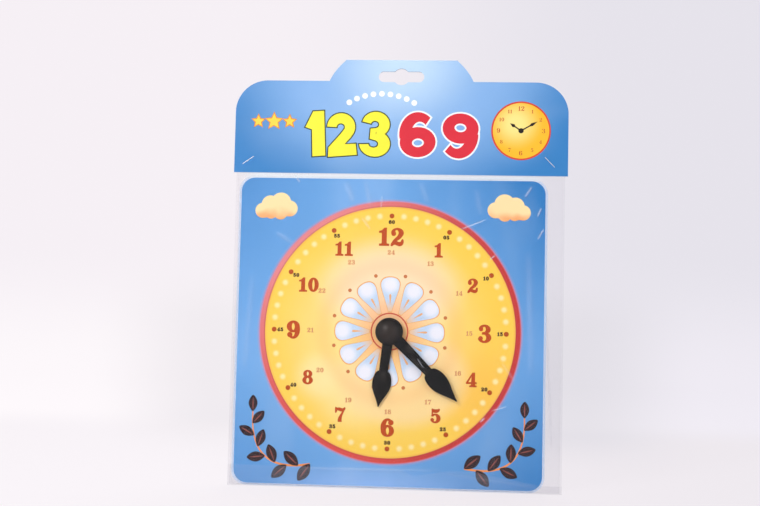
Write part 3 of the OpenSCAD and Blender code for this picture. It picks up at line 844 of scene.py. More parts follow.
def field_material(p):
    field = Finish("dial print", "yellow_ink")
    distance = field.distance()
    glow = distance.ramp(0.038, 0.0475) * distance.ramp(0.0475, 0.0575, 1.0, 0.0) * 0.16
    root = distance.ramp(0.012, 0.040, 0.45, 0.0)
    halo = field.nearest_dot(60).ramp(1.6 * MM, 3.1 * MM, 0.45, 0.0)
    off_fives = field.nearest_dot(12).ramp(4 * MM, 5 * MM)
    colour = layered(
        p.field_yellow,
        (field.spot(-6, -2, 30, 88), p.field_pale),
        (field.spot(0, 30, 18, 44, (0.72, 0, 1)) * 0.95, p.field_peach),
        (field.spot(-26, -46, 6, 34) * 0.4, ink("fff0b8")),
        (field.spot(-51, -33, 5, 22) * 0.5, ink("fff0b8")),
        (field.spot(62, -40, 4, 50) * 0.7, ink("ffc44c")),
        (field.spot(10, -32, 27, 41, (0.756, 0, 1)) * 0.85, p.field_low),
        (glow + root, p.field_orange),
        (halo * off_fives, p.dot_cream),
        # Painted shade line just inside the ring
        (distance.ramp(0.0880, 0.0900, 0.0, 0.5), ink("f2a050")))
    return field.printed(colour, 0.03, 0.34, Coat_Weight=0.25, Coat_Roughness=0.12)


def ring_material(p):
    ring = Finish("ring print", "red_ink")
    distance = ring.distance()
    colour = layered(
        p.ring_warm,
        (axes_of(ring.place)[0].ramp(DIAL.x - 0.02, DIAL.x + 0.05), p.ring_red),
        # Painted highlight of the film on the ring's upper left
        (ring.spot(-66, 66, 10, 150), p.ring_pink),
        # Painted shade line along the ring's inner edge
        (distance.ramp(0.0899, 0.0909, 0.75, 0.0), ink("b3352b")),
        (distance.ramp(0.0930, 0.0940, 0.0, 0.75), ink("d58da6")))
    return ring.printed(colour, 0.05, 0.36)


def minute_dot_material(p):
    dot = Finish("minute dot print", "cream_ink")
    rim = dot.nearest_dot(60).ramp(0.9 * MM, 1.8 * MM, 0.0, 0.75)
    return dot.printed(mixed(rim, p.dot_cream, ink("ffe27e")), 0.03)


def grey_board_material():
    board = Finish("grey board", "greyboard")
    flecks = noise_at(board.place, 1400.0, 3.0)
    plies = noise_at(stretched(board.place, (60.0, 2400.0, 60.0)), 1.0, 2.0)
    board.set(Roughness=0.9, Base_Color=layered(
        ink("8f897e"),
        (flecks.ramp(0.35, 0.7), ink("b9b3a6")),
        (plies.ramp(0.45, 0.6, 0.0, 0.4), ink("7c766b"))))
    board.bump(flecks + plies, 0.5, 0.00012)
    return board.material


def liner_material():
    liner = Finish("white liner", "white_liner")
    colour = layered(
        ink("eceae5"),
        # Darker within 4 mm of the liner's edges, and painted shade round the back button in the middle
        (liner.depth_in("back_liner").ramp(0.0, 0.004, 0.6, 0.0), ink("cfcac0")),
        (liner.spot(0, 0, 8, 14) * 0.4, ink("b8b2a8")))
    return liner.printed(colour, 0.05, 0.62)


class CLOCK_OT_board(bpy.types.Operator):
    """Give the board's layers and the solid print on it their finishes"""
    bl_idname = "clock.board"
    bl_label = "Board"

    def execute(self, context):
        p = context.scene.clock_print
        dress("face_sheet", board_sheet_material(p))
        dress("dial_field", field_material(p))
        dress("dial_ring", ring_material(p))
        dress("minute_dots", minute_dot_material(p))
        dress("five_minute_dots", flat_ink("five minute print", "red_ink", ink("b54b00"), 0.1))
        dress("board_core", grey_board_material())
        dress("back_liner", liner_material())
        return {"FINISHED"}


class CLOCK_OT_numerals(bpy.types.Operator):
    """Print the hours, the minutes and the afternoon hours on the dial"""
    bl_idname = "clock.numerals"
    bl_label = "Numerals"

    def execute(self, context):
        p = context.scene.clock_print
        minutes = [f"{minute:02d}" for minute in (60, *range(5, 60, 5))]
        afternoon = [str(hour) for hour in (24, *range(13, 24))]
        shifts = {"4": (0, 1.2), "7": (0, -0.8), "8": (1.0, 0.3), "9": (-1.2, 0), "10": (0, -1.5)}
        for name, labels, radius, main_size, size, weight, moved, colour, mottle in (
                ("hour", HOURS, p.hour_radius, p.hour_main_size, p.hour_size, 0.042, shifts,
                 p.numeral_red, 0.08),
                ("minute", minutes, p.minute_radius, p.minute_size, p.minute_size, 0.066, {},
                 p.numeral_black, 0.05),
                ("afternoon", afternoon, p.inner_radius, p.inner_size, p.inner_size, 0.036, {},
                 p.numeral_faint, 0.1)):
            outlines = round_the_dial(labels, radius / MM, main_size / MM, size / MM, weight, moved)
            place_print(f"{name}_numerals", outlines, DIAL, FIELD_Y, 1.5 * LAYER,
                        flat_ink(f"{name} numerals", "brown_ink", colour, mottle))
        return {"FINISHED"}


# The rosette round the hub, in mm from the axis

PETAL_HALF = [(0.16, 0.0), (0.3, 0.12), (0.62, 0.4), (0.95, 0.68), (0.98, 0.84), (0.72, 0.95), (0.3, 0.995)]
PETAL_WIDEST_R = 34
DASH_LONG, DASH_WIDE = 7.5, 1.5
ROSETTE_DOT_R = 1.3
RING_INNER_R, RING_OUTER_R = 12.6, 13.6


def petal_material(m):
    petal = Finish("petal print", "cream_ink")
    edge = petal.nearest_dot(m.petal_count, PETAL_WIDEST_R * MM).ramp(2.5 * MM, 9 * MM, 0.0, 0.8)
    root = petal.distance().ramp(14 * MM, 24 * MM, 0.85, 0.0)
    return petal.printed(layered(m.petal_white, (edge, m.petal_shade), (root, ink("f7c386"))), 0.03, 0.36)


class CLOCK_OT_rosette(bpy.types.Operator):
    """Print the rosette of petals round the hub"""
    bl_idname = "clock.rosette"
    bl_label = "Rosette"

    def execute(self, context):
        m = context.scene.clock_motifs
        step = math.tau / m.petal_count
        start, end, width = m.petal_start / MM, m.petal_end / MM, m.petal_width / MM
        rims = blade(PETAL_HALF, start - 0.6, end + 0.7, width + 1.2)
        petals = blade(PETAL_HALF, start, end, width)
        dots = disc(0, end + 2.2, ROSETTE_DOT_R)
        dashes = placed(blade(PETAL_HALF, 0, DASH_LONG, DASH_WIDE), at=(0, start + 5))
        for name, outlines, lift, thickness, first, material in (
                ("rosette_petal_rims", rims, 0.0, 0.6, 0.0,
                 flat_ink("petal rim print", "yellow_ink", ink("f0a860"), 0.08)),
                ("rosette_petals", petals, 0.6, 0.6, 0.0, petal_material(m)),
                ("rosette_dots", dots, 0.0, 1.0, step / 2,
                 flat_ink("rosette dot print", "brown_ink", ink("c8743c"), 0.1)),
                ("rosette_dashes", dashes, 1.2, 0.5, 0.0,
                 flat_ink("petal vein print", "yellow_ink", ink("eeb27a"), 0.08))):
            place_copies(name, outlines, FIELD_Y - lift * LAYER, thickness * LAYER, "Ring of Copies",
                         material, Count=m.petal_count, Centre=(DIAL.x, 0, DIAL.z), First_Angle=first,
                         Step_Angle=step)
        ring = bowl((0, 0, RING_OUTER_R, RING_OUTER_R), (0, 0, RING_INNER_R, RING_INNER_R), steps=72)
        place_print("rosette_ring", ring, DIAL, FIELD_Y, LAYER,
                    flat_ink("rosette ring print", "red_ink", ink("d4553a"), 0.08))
        return {"FINISHED"}


# Clouds and leaf sprigs, in mm

CLOUD_PUFFS = [
    (-10, -1, 5.5), (-4.5, 3.4, 6.6), (3.2, 4.8, 7.4), (9.6, 0.6, 5.8), (3, -2.5, 5), (-4, -2.6, 4.4)]
LEAF_HALF = [(0.3, 0.06), (0.78, 0.26), (1.0, 0.48), (0.86, 0.7), (0.44, 0.9)]
LEAF_LONG, LEAF_WIDE = 14.5, 8
VEIN_START, VEIN_LONG, VEIN_WIDE = 1.2, 11, 1.1
STEM_PATH = [(55, -95.5), (99, -104), (97, -59)]


def cloud_outlines(mirror):
    puffs = [disc(mirror * x, z, r, 28)[0] for x, z, r in CLOUD_PUFFS]
    left_z, right_z = (-6.4, -5) if mirror > 0 else (-5, -6.4)
    return [*puffs, [(-10, left_z), (10, right_z), (10, 1), (-10, 1)]]


def cloud_material(m, name, centre):
    cloud = Finish(name, "cream_ink")
    z = axes_of(between("SUBTRACT", cloud.place, centre))[2]
    height = z + (noise_at(cloud.place, 90.0, 1.0) - 0.5) * 0.014
    low = height.ramp(-8 * MM, 1.5 * MM, 0.9, 0.0)
    return cloud.printed(mixed(low, m.cloud_cream, m.cloud_orange), 0.03, 0.36)


def curve_through(start, pull, end, steps):
    """Curve from a start to an end, drawn towards a third point."""
    line = []
    for i in range(steps + 1):
        t = i / steps
        point = start * (1 - t) ** 2 + pull * 2 * t * (1 - t) + end * t * t
        line.append((point.x, point.z))
    return line


class CLOCK_OT_corner_motifs(bpy.types.Operator):
    """Print the clouds and the leaf sprigs in the board's corners"""
    bl_idname = "clock.corner_motifs"
    bl_label = "Corner Motifs"

    def execute(self, context):
        m = context.scene.clock_motifs
        for side, mirror, x, z in (("left", 1, -84, 87), ("right", -1, 84, 88)):
            centre = DIAL + Vector((x, 0, z)) * MM
            place_print(f"cloud_{side}", cloud_outlines(mirror), centre, SHEET_Y, LAYER,
                        cloud_material(m, f"{side} cloud print", centre))
        leaf = flat_ink("leaf print", "brown_ink", m.leaf_brown, 0.3, 0.3)
        vein = flat_ink("leaf vein print", "brown_ink", m.leaf_vein, 0.1)
        stem = flat_ink("stem print", "yellow_ink", m.stem_orange, 0.08)
        for side, mirror in (("left", -1), ("right", 1)):
            path = [Vector((mirror * x, 0, z)) for x, z in STEM_PATH]
            line = curve_through(*path, 18)
            place_print(f"stem_{side}", ribbon(line, 1.6, 0.9), DIAL, SHEET_Y, LAYER, stem)
            leaves = blade(LEAF_HALF, 0, LEAF_LONG, LEAF_WIDE)
            veins = placed(blade(LEAF_HALF, 0, VEIN_LONG, VEIN_WIDE), at=(0, VEIN_START))
            for name, outlines, lift, material in (
                    (f"leaves_{side}", leaves, LAYER, leaf),
                    (f"leaf_veins_{side}", veins, 2.2 * LAYER, vein)):
                ends = {label: (DIAL.x + v.x * MM, SHEET_Y - lift, DIAL.z + v.z * MM)
                        for label, v in zip(("Start", "Middle", "End"), path)}
                place_copies(name, outlines, 0.0, LAYER, "Leaves on a Stem", material,
                             Leaves=9, Spread=0.82, End_Size=0.8, **ends)
        return {"FINISHED"}


# The header card

# Digits with their places in mm from the hang slot, their turns in degrees and their sizes
TITLE_LEFT = [("1", -61.6, -42.3, -4, 1.0), ("2", -42.6, -42.9, -3, 0.96), ("3", -17.8, -42.3, 4, 1.0)]
TITLE_RIGHT = [("6", 12.4, -42.3, -3, 1.0), ("9", 43.2, -42.9, 4, 1.0)]
STARS = [(-104, 0.85), (-92.5, 1.15), (-81, 0.85)]
STARS_Z = -33.5
DOT_ARC_CENTRE = (-0.014, 0, -0.0585)
DOT_ARC_R = 46
DOT_COUNT = 9
DOT_STEP = 0.135


def card_material(c):
    card = Finish("card print", "header_print")
    low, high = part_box("header_card")
    distance = card.distance(Vector((0, 0, 9)) * MM, (1, 0, 1.22))
    streaks = noise_at(stretched(card.place, (9.0, 1.0, 16.0)), 1.0, 2.0)
    x, y, z = axes_of(card.place)
    round_the_fold = length_across(abs(y), (z - (high.z + CARD_Y)).maths("MAXIMUM"))
    cut = round_the_fold.ramp(-CARD_Y - 0.04 * MM, -CARD_Y - 0.015 * MM, 1.0, 0.0, "LINEAR")
    # Painted shadow on the cut edge along the top of the hang slot
    slot_top_shadow = z.ramp(2.8 * MM, 3.6 * MM) * length_of(card.place).ramp(18 * MM, 20 * MM, 1.0, 0.0)
    low_edge = (z - low.z).ramp(0.0, 0.3 * MM, 0.5, 0.0)
    side_edge = (high.x - abs(x)).ramp(0.0, 0.25 * MM, 0.5, 0.0)
    colour = layered(
        c.card_light,
        (distance.ramp(0.006, 0.068), c.card_mid),
        (distance.ramp(0.064, 0.138), c.card_deep),
        (streaks.ramp(0.5, 0.75, 0.0, 0.07), (0.8, 0.9, 1.0)),
        (cut, mixed(slot_top_shadow, ink("f2f3f2"), ink("3c4d70"))),
        (low_edge.maths("MAXIMUM", side_edge), ink("eef4fb")))
    return card.printed(colour, 0.03, 0.36, Coat_Weight=0.2, Coat_Roughness=0.2)


def card_print(name, label, outlines, level, colour, mottle, centre=HANG_SLOT):
    """Prints flat outlines on the card in one ink, over as many layers as are there."""
    place_print(name, outlines, centre, CARD_Y - level * LAYER, LAYER,
                flat_ink(f"{label} print", "header_print", colour, mottle))


def star_outline(outer, inner):
    radii = [inner if i % 2 else outer for i in range(10)]
    return [[(r * math.sin(math.pi * i / 5), r * math.cos(math.pi * i / 5)) for i, r in enumerate(radii)]]


class CLOCK_OT_header_card(bpy.types.Operator):
    """Finish the folded header card and print on its front"""
    bl_idname = "clock.header_card"
    bl_label = "Header Card"

    def execute(self, context):
        c = context.scene.clock_card
        dress("header_card", card_material(c))
        size = c.title_size / MM
        for side, digits, narrow, fill_colour, rim_colour, rim_width in (
                ("left", TITLE_LEFT, 0.9, c.title_yellow, c.title_dark, 0.8),
                ("right", TITLE_RIGHT, 1.04, c.title_red, c.title_white, 1.2)):
            outlines, rims = [], []
            for digit, x, z, turn, scale in digits:
                wide, shape = BLOCK_DIGITS[digit]
                centred = [[(narrow * (px - wide / 2), pz - 0.5) for px, pz in outline] for outline in shape]
                drawn = placed(centred, size * scale, (x, z), turn)
                outlines += drawn
                rims += outline_of(drawn, rim_width)
            card_print(f"title_{side}_rim", f"title {side} rim", rims, 0, rim_colour, 0.05)
            card_print(f"title_{side}", f"title {side}", outlines, 1, fill_colour, 0.06)
        place_copies("header_dots", disc(0, DOT_ARC_R, 2.1, 24), CARD_Y, LAYER, "Ring of Copies",
                     flat_ink("header dot print", "header_print", ink("fbfdff"), 0.03),
                     Count=DOT_COUNT, Centre=DOT_ARC_CENTRE,
                     First_Angle=-DOT_STEP * (DOT_COUNT - 1) / 2, Step_Angle=DOT_STEP)
        stars, rims = [], []
        for x, scale in STARS:
            star = placed(star_outline(5.2, 2.3), scale, (x, STARS_Z))
            stars += star
            rims += outline_of(star, 0.75)
        card_print("star_rims", "star rim", rims, 0, ink("e88a2e"), 0.06)
        card_print("stars", "star", stars, 1, ink("ffd84a"), 0.06)
        return {"FINISHED"}


# The small clock on the card, in mm from its middle

SMALL_CLOCK = Vector((87.0, 0, -38.6)) * MM
SMALL_DIAL_R = 20.2
SMALL_RING = 1.2
SMALL_HOURS_R = 16.2
SMALL_MAIN_HOUR, SMALL_HOUR = 3.4, 2.7
SMALL_HUB_R = 1.9
# Each hand's turn in degrees, its length and its width
SMALL_HANDS = [(304, 9.5, 2.6), (60, 13.5, 2.2)]


def small_field_material():
    field = Finish("small dial print", "header_print")
    pale = field.spot(-4, 5, 3, 21, middle=SMALL_CLOCK)
    return field.printed(mixed(pale, ink("fbbf2c"), ink("ffe88c")), 0.03, 0.36)


def small_hand(turn, long, wide):
    half = [(0.5, 0), (0.45, long * 0.55), (wide / 2, long * 0.68)]
    left = [(-x, z) for x, z in half]
    return placed([[left[0], *half, (0, long), left[2], left[1]]], turn=turn)


class CLOCK_OT_small_clock(bpy.types.Operator):
    """Print the small clock on the header card"""
    bl_idname = "clock.small_clock"
    bl_label = "Small Clock"

    def execute(self, context):
        ring = disc(0, 0, SMALL_DIAL_R + SMALL_RING, 64)
        card_print("small_ring", "small ring", ring, 0, ink("d8452e"), 0.06, SMALL_CLOCK)
        place_print("small_field", disc(0, 0, SMALL_DIAL_R, 64), SMALL_CLOCK, CARD_Y - LAYER, LAYER,
                    small_field_material())
        numerals = round_the_dial(HOURS, SMALL_HOURS_R, SMALL_MAIN_HOUR, SMALL_HOUR)
        card_print("small_numerals", "small numeral", numerals, 2, ink("c85a28"), 0.08, SMALL_CLOCK)
        hands = disc(0, 0, SMALL_HUB_R, 24)
        for turn, long, wide in SMALL_HANDS:
            hands += small_hand(turn, long, wide)
        card_print("small_hands", "small hand", hands, 3, ink("1f1714"), 0.1, SMALL_CLOCK)
        return {"FINISHED"}


# Hands and staples

def plastic_material(name, colour, hub_highlight_colour, wear, gloss):
    plastic = Finish(name, "black_plastic")
    # Painted highlight: the colour eases to the hub's highlight colour towards the middle of the hub
    lightened = plastic.spot(0, 0, 4, 9.5)
    moulded = use(plastic.tree, "Moulded Plastic", Place=plastic.place,
                  Colour=mixed(lightened, colour, hub_highlight_colour), Wear=wear, Gloss=gloss)
    plastic.set(Base_Color=moulded["Colour"], Roughness=moulded["Roughness"], Specular_IOR_Level=0.22)
    plastic.bump(moulded["Height"], 0.25, 0.00006)
    return plastic.material


class CLOCK_OT_hands(bpy.types.Operator):
    """Finish the two moulded hands and the button behind them"""
    bl_idname = "clock.hands"
    bl_label = "Hands"

    def execute(self, context):
        dress("hour_hand", plastic_material("hour hand plastic", ink("0f0904"), ink("0f0904"), 0.22, 0.4))
        dress("minute_hand", plastic_material("minute hand plastic", ink("080402"), ink("2e2520"), 0.2, 0.38))
        dress("back_button", plastic_material("button plastic", ink("262120"), ink("2e2520"), 0.2, 0.4))
        return {"FINISHED"}


def wire_material():
    wire = Finish("staple wire", "staple_wire")
    drawn = noise_at(wire.place, 1500.0, 3.0)
    colour = mixed(drawn.ramp(0.35, 0.7), ink("d4dae4"), ink("f2f5fa"))
    wire.set(Base_Color=colour, Metallic=0.6, Roughness=drawn.ramp(0.3, 0.7, 0.26, 0.42))
    wire.bump(drawn, 0.2, 0.00003)
    return wire.material


class CLOCK_OT_staples(bpy.types.Operator):
    """Finish the two staples in the header card"""
    bl_idname = "clock.staples"
    bl_label = "Staples"

    def execute(self, context):
        wire = wire_material()
        dress("staple_left", wire)
        dress("staple_right", wire)
        return {"FINISHED"}


# The film bag, in mm from the middle of the dial

DIAL_X, DIAL_Z = DIAL.x / MM, DIAL.z / MM
BOARD_HALF = (BOARD_HIGH.x - BOARD_LOW.x) / 2 / MM
HUB_R = 9.9
SWEEP_R = 69.0
FILM_HALF = BOARD_HALF + 0.3
FRONT_PEAK, FRONT_SWEEP, FRONT_RIM = 11.27, 6.17, 1.55
BACK_PEAK, BACK_RIM, BACK_BULGE_R = 3.0, 1.5, 60.0
RIPPLE_EASE = 12
CREASE_EASE = 3
CREASE_OFF_HUB = 10
CREASE_MARGIN = 0.8
CREASE_STEP = 1.5
# Rows of points beside a crease, in widths of the crease
CREASE_ROWS = (-3.2, -1.5, -0.6, 0, 0.6, 1.5, 3.2)

# Creases of the front film: both ends, height, width and how bright its painted glint shows
CREASES = [
    (49.5, 74, 68, 81.6, 0.3, 0.36, 0.72),
    (70.5, 52.5, 74.5, 56, 0.3, 0.34, 0.75),
    (73.5, -54.2, 84, -51, 0.25, 0.34, 0.6),
    (65.5, -62.5, 69, -59, 0.35, 0.4, 0.85),
    (20.6, -18.2, 25.4, -25.6, 0.2, 0.22, 0.42),
    (-34, 108, -28, 92, 0.5, 2.0, 0.16),
    (-20, 109, -15, 88, 0.4, 1.6, 0.12),
    (-71.5, 112, -67, 106.5, 0.35, 0.6, 0.5),
    (-7.2, 98, -7.8, 88, 0.4, 0.4, 0.3),
    (-22, 82, -15, 73, 0.3, 0.8, 0.22),
    (20, 108, 26, 92, 0.4, 1.8, 0.1),
    (95, 98, 100, 106, 0.4, 0.6, 0.5),
    (104, 84, 107, 91, 0.4, 0.5, 0.6),
    (104.5, 68, 109, 76, 0.4, 0.5, 0.6),
    (98, 60, 101, -30, 0.5, 2.2, 0.12),
    (60, 104, 64, 84, 0.5, 1.8, 0.1),
    (-100, 40, -104, -30, 0.5, 2.0, 0.1),
    (-60, -98, 40, -97, 0.5, 1.0, 0.14),
    (36, -98.5, 108, -107.5, 0.5, 0.7, 0.08),
    (80, -20, 90, -34, 0.4, 0.9, 0.12),
    (-84, 70, -70, 62, 0.4, 1.4, 0.12),
    (110, 40, 116, -80, 0.3, 0.8, 0.25),
    (-113, 20, -114.5, -90, 0.3, 0.7, 0.2),
]


def held(value):
    return min(1.0, max(0.0, value))


def contour_r(x, z):
    """Size of the rounded square round the middle that passes a point."""
    return (abs(x) ** 4 + abs(z) ** 4) ** 0.25


def front_lift(x, z):
    """Height of the front film's inside above the pack's middle."""
    r = contour_r(x, z)
    if r < SWEEP_R:
        return FRONT_PEAK + (FRONT_SWEEP - FRONT_PEAK) * held((r - HUB_R) / (SWEEP_R - HUB_R))
    return FRONT_SWEEP + (FRONT_RIM - FRONT_SWEEP) * held((r - SWEEP_R) / (FILM_HALF - SWEEP_R))


def back_lift(x, z):
    share = max(0.0, 1 - max(0.0, contour_r(x, z) - HUB_R) / (BACK_BULGE_R - HUB_R)) ** 2
    return BACK_RIM + (BACK_PEAK - BACK_RIM) * share


def crease_at(x, z, creases):
    """Height and painted glint that the creases add at a point."""
    lift = white = 0.0
    for x0, z0, x1, z1, height, width, shows in creases:
        dx, dz = x1 - x0, z1 - z0
        long = math.hypot(dx, dz)
        along = ((x - x0) * dx + (z - z0) * dz) / long / long
        across = abs((x - x0) * dz - (z - z0) * dx) / long
        if not -0.1 < along < 1.1 or across > 4 * width:
            continue
        taper = max(0.0, 4 * held(along) * (1 - held(along))) ** 0.6
        lift += height * math.exp(-(across / (1.6 * width)) ** 2) * taper
        white = max(white, shows * math.exp(-(across / width) ** 2) * taper)
    return lift, white


def film_lines(low, high, centre, cells):
    """Places of the film's columns or rows: even over the board, and a few beyond it."""
    first, last = centre - FILM_HALF, centre + FILM_HALF
    inside = [first + 2 * FILM_HALF * i / cells for i in range(cells + 1)]
    before = [low + (first - low) * i / 2 for i in range(2)]
    after = [last + (high - last) * (i + 1) / 4 for i in range(4)]
    return before + inside + after


def film_points(xs, zs, creases):
    """Points of the sheet: a grid, and close rows along each crease that take the grid's place."""
    rows = []
    for x0, z0, x1, z1, _, width, _ in creases:
        long = math.hypot(x1 - x0, z1 - z0)
        nx, nz = -(z1 - z0) / long, (x1 - x0) / long
        steps = math.ceil(long / CREASE_STEP)
        for i in range(steps + 1):
            for off in CREASE_ROWS:
                x = DIAL_X + x0 + (x1 - x0) * i / steps + nx * off * width
                z = DIAL_Z + z0 + (z1 - z0) * i / steps + nz * off * width
                if all(line[0] + CREASE_MARGIN < at < line[-1] - CREASE_MARGIN
                       for at, line in ((x, xs), (z, zs))):
                    rows.append((x, z))
    near = {(round(x), round(z)) for x, z in rows}
    grid = [(x, z) for z in zs for x in xs
            if x in (xs[0], xs[-1]) or z in (zs[0], zs[-1]) or (round(x), round(z)) not in near]
    return grid + rows


def over_the_board(at, lines, centre):
    """1 over the board, going down to 0 at the film's border."""
    if at > centre:
        return held((lines[-1] - at) / (lines[-1] - centre - FILM_HALF))
    return held((at - lines[0]) / (centre - FILM_HALF - lines[0]))


def film_height(x, z, xs, zs, side, lift_at, creases, ripple):
    """Height of the film's inside, and how bright a crease's painted glint makes it."""
    u, v = x - DIAL_X, z - DIAL_Z
    border = min(x - xs[0], xs[-1] - x, z - zs[0], zs[-1] - z)
    base = lift_at(u, v) * min(over_the_board(x, xs, DIAL_X), over_the_board(z, zs, DIAL_Z))
    wave = noise.noise(Vector((x * 0.05, z * 0.035, side * 7.0)))
    wave += 0.5 * noise.noise(Vector((x * 0.14, z * 0.09, side * 3.0)))
    off_hub = contour_r(u, v)
    soft = max(0.0, ripple * (0.6 + wave)) * held(border / RIPPLE_EASE)
    soft *= held((off_hub - RIPPLE_EASE) / RIPPLE_EASE)
    add, white = crease_at(u, v, creases)
    add *= held(border / CREASE_EASE) * held((off_hub - CREASE_OFF_HUB) / (2 * CREASE_EASE))
    return base + soft + add, white


def film_mesh(name, side, lift_at, creases, ripple, p):
    """Closed sheet of film: its inside over the pack, and its outside one thickness further."""
    low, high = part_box("bag_front")
    xs = film_lines(low.x / MM, high.x / MM, DIAL_X, p.cells)
    zs = film_lines(low.z / MM, high.z / MM, DIAL_Z, p.cells)
    flat = [Vector(point) for point in film_points(xs, zs, creases)]
    found = geometry.delaunay_2d_cdt(flat, [], [], 0, 1e-4)
    points, triangles = found[0], found[2]
    heights = [film_height(x, z, xs, zs, side, lift_at, creases, ripple) for x, z in points]
    both = [(x * MM, side * (height + depth) * MM, z * MM)
            for depth in (p.thickness / MM, 0.0) for (x, z), (height, _) in zip(points, heights)]
    faces = closed_faces(triangles, len(points))
    mesh = mesh_of(name, both, [face[::-1] for face in faces] if side > 0 else faces)
    mesh.shade_smooth()
    # Each point's painted glint goes to the crease attribute
    whites = [white for _, white in heights] * 2
    mesh.attributes.new("crease", "FLOAT", "POINT").data.foreach_set("value", whites)
    return mesh


# Pale band of the bag's folded bottom, which dips and has a notch, in metres from the dial's middle
FOLD_BELOW = 0.0968
DIP_START, DIP_END, DIP_DEEP = 0.06, 0.11, 0.009
NOTCH_START, NOTCH_TOP, NOTCH_END, NOTCH_DEEP = 0.010, 0.019, 0.045, 0.0042


def film_material(name, p, haze, edge):
    """Clear film: almost nothing over the board, greyer where it hangs free, whiter where it bends, with
    painted glints on its creases and a painted highlight where it is pulled over the board's edge.
    """
    film = Finish(name, "clear_film")
    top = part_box("face_sheet")[1].z
    x, _, z = axes_of(film.place)
    crease = Number(put(film.tree, "ShaderNodeAttribute", attribute_name="crease").outputs["Fac"])
    creased = use(film.tree, "Film Creases", Place=film.place, Crease=crease, Haze=haze, Glint=p.glint)
    facing = Number(put(film.tree, "ShaderNodeLayerWeight", {"Blend": 0.12}).outputs["Facing"])
    depth = film.depth_in("face_sheet")
    free = depth.ramp(-0.5 * MM, 0.0, 1.0, 0.0)
    gap = z.ramp(top - 1 * MM, top + 0.3 * MM) * abs(x - DIAL.x).ramp(0.100, 0.112, 1.0, 0.0)
    open_side = free * (1.0 - gap * 0.8)
    # Painted highlight on the film pulled over the board's edge
    pulled = depth.ramp(-2.0 * MM, -0.9 * MM) * open_side
    dip = x.ramp(DIAL.x + DIP_START, DIAL.x + DIP_END, kind="LINEAR") * DIP_DEEP
    notch = (x.ramp(DIAL.x + NOTCH_START, DIAL.x + NOTCH_TOP, kind="LINEAR")
             * x.ramp(DIAL.x + NOTCH_TOP, DIAL.x + NOTCH_END, NOTCH_DEEP, 0.0, "LINEAR"))
    fold = (z + (dip + notch)).ramp(DIAL.z - FOLD_BELOW - 1 * MM, DIAL.z - FOLD_BELOW, 0.042, 0.0)
    sides = z.ramp(DIAL.z - 0.08, DIAL.z + 0.06, 0.042, 0.024)
    alpha = creased["Alpha"] + facing.maths("POWER", 2.0) * edge
    for veil in (open_side * sides, gap * 0.035, pulled * 0.16, fold):
        alpha = alpha.maths("ADD", veil, clamp=True)
    # Painted light: the pulled band's highlight, the gap's blue sheen and the creases' white glints
    tone = layered(p.flat_tone, (free, p.free_tone), (pulled, p.pulled_tone), (gap, p.gap_tone),
                   (crease, ink("f1f6ff")))
    film.set(Base_Color=tone, Alpha=alpha, Roughness=creased["Roughness"])
    film.bump(creased["Height"], 0.3, 0.0004)
    return film.material


class CLOCK_OT_film_bag(bpy.types.Operator):
    """Build the clear film bag round the board"""
    bl_idname = "clock.film_bag"
    bl_label = "Film Bag"

    def execute(self, context):
        p = context.scene.clock_film
        ripple = p.ripple / MM
        front = film_mesh("film_front", -1, front_lift, CREASES, ripple, p)
        place_piece("film_front", front, film_material("front film", p, p.haze, 0.5), ("bag_front",))
        mirrored = [(-x0, z0, -x1, z1, height * 0.5, 1.5 * width, shows * 0.4)
                    for x0, z0, x1, z1, height, width, shows in CREASES[5:21]]
        back = film_mesh("film_back", 1, back_lift, mirrored, ripple * 0.6, p)
        place_piece("film_back", back, film_material("back film", p, p.haze, 0.5), ("bag_back",))
        weld = film_material("welded film", p, 0.03, 0.4)
        for node in ("bag_seam_left", "bag_seam_right", "bag_bottom_fold"):
            dress(node, weld)
        dress("bag_mouth", film_material("mouth film", p, 0.05, 0.3))
        return {"FINISHED"}


# The stage

SHADE_FAN_START = 0.86


def stage_material(s):
    """Pale sweep that the camera sees at its written colour, and that still takes the shadow."""
    made = bpy.data.materials.new("stage paper")
    made.use_nodes = True
    tree = made.node_tree
    tree.nodes.clear()
    x, y, z = axes_of(place_of(tree))
    far = abs(y).ramp(0.4, 0.8)
    to_right = x.ramp(far.ramp(0.0, 1.0, -0.22, -0.53), far.ramp(0.0, 1.0, 0.26, 0.48))
    # Painted light: the floor and the backdrop are paler on the left, and the backdrop is paler at its foot
    low, wall, floor, shaded = (mixed(to_right, left, right) for left, right in (
        (s.low_left, s.low_right), (s.wall_left, s.wall_right),
        (s.floor_left, s.floor_right), (s.shade_left, s.shade_right)))
    backdrop = mixed(z.ramp(FLOOR_Z, FLOOR_Z + 0.35), low, wall)
    # The soft shade opens like a fan behind the pack, as a shadow does from light in front of it
    aside = abs(x + y * 0.06) / (y + SHADE_FAN_START).maths("MAXIMUM", 0.3)
    shade = aside.ramp(0.15, 0.26, 1.0, 0.0) * y.ramp(0.1, 0.6) * z.ramp(-0.17, 0.03, 1.0, 0.0)
    edge = y.ramp(-3.5, -1.5, 1.0, 0.0).maths("MAXIMUM", abs(x).ramp(2.5, 5.5))
    colour = layered(floor, (far, backdrop), (shade, shaded), (edge, s.horizon))
    lit = put(tree, "ShaderNodeBsdfDiffuse", {"Color": colour})
    glow = put(tree, "ShaderNodeEmission", {"Color": colour, "Strength": 1.0})
    path = read(put(tree, "ShaderNodeLightPath").outputs)
    through = path["Is Glossy Ray"].maths("MAXIMUM", path["Is Transmission Ray"])
    seen = path["Is Camera Ray"].maths("MAXIMUM", through)
    glowing = seen * (far.ramp(0.0, 1.0, 0.88, 0.96) + edge * 0.04)
    both = put(tree, "ShaderNodeMixShader", {0: glowing, 1: lit.outputs[0], 2: glow.outputs[0]})
    put(tree, "ShaderNodeOutputMaterial", {0: both.outputs[0]})
    return made


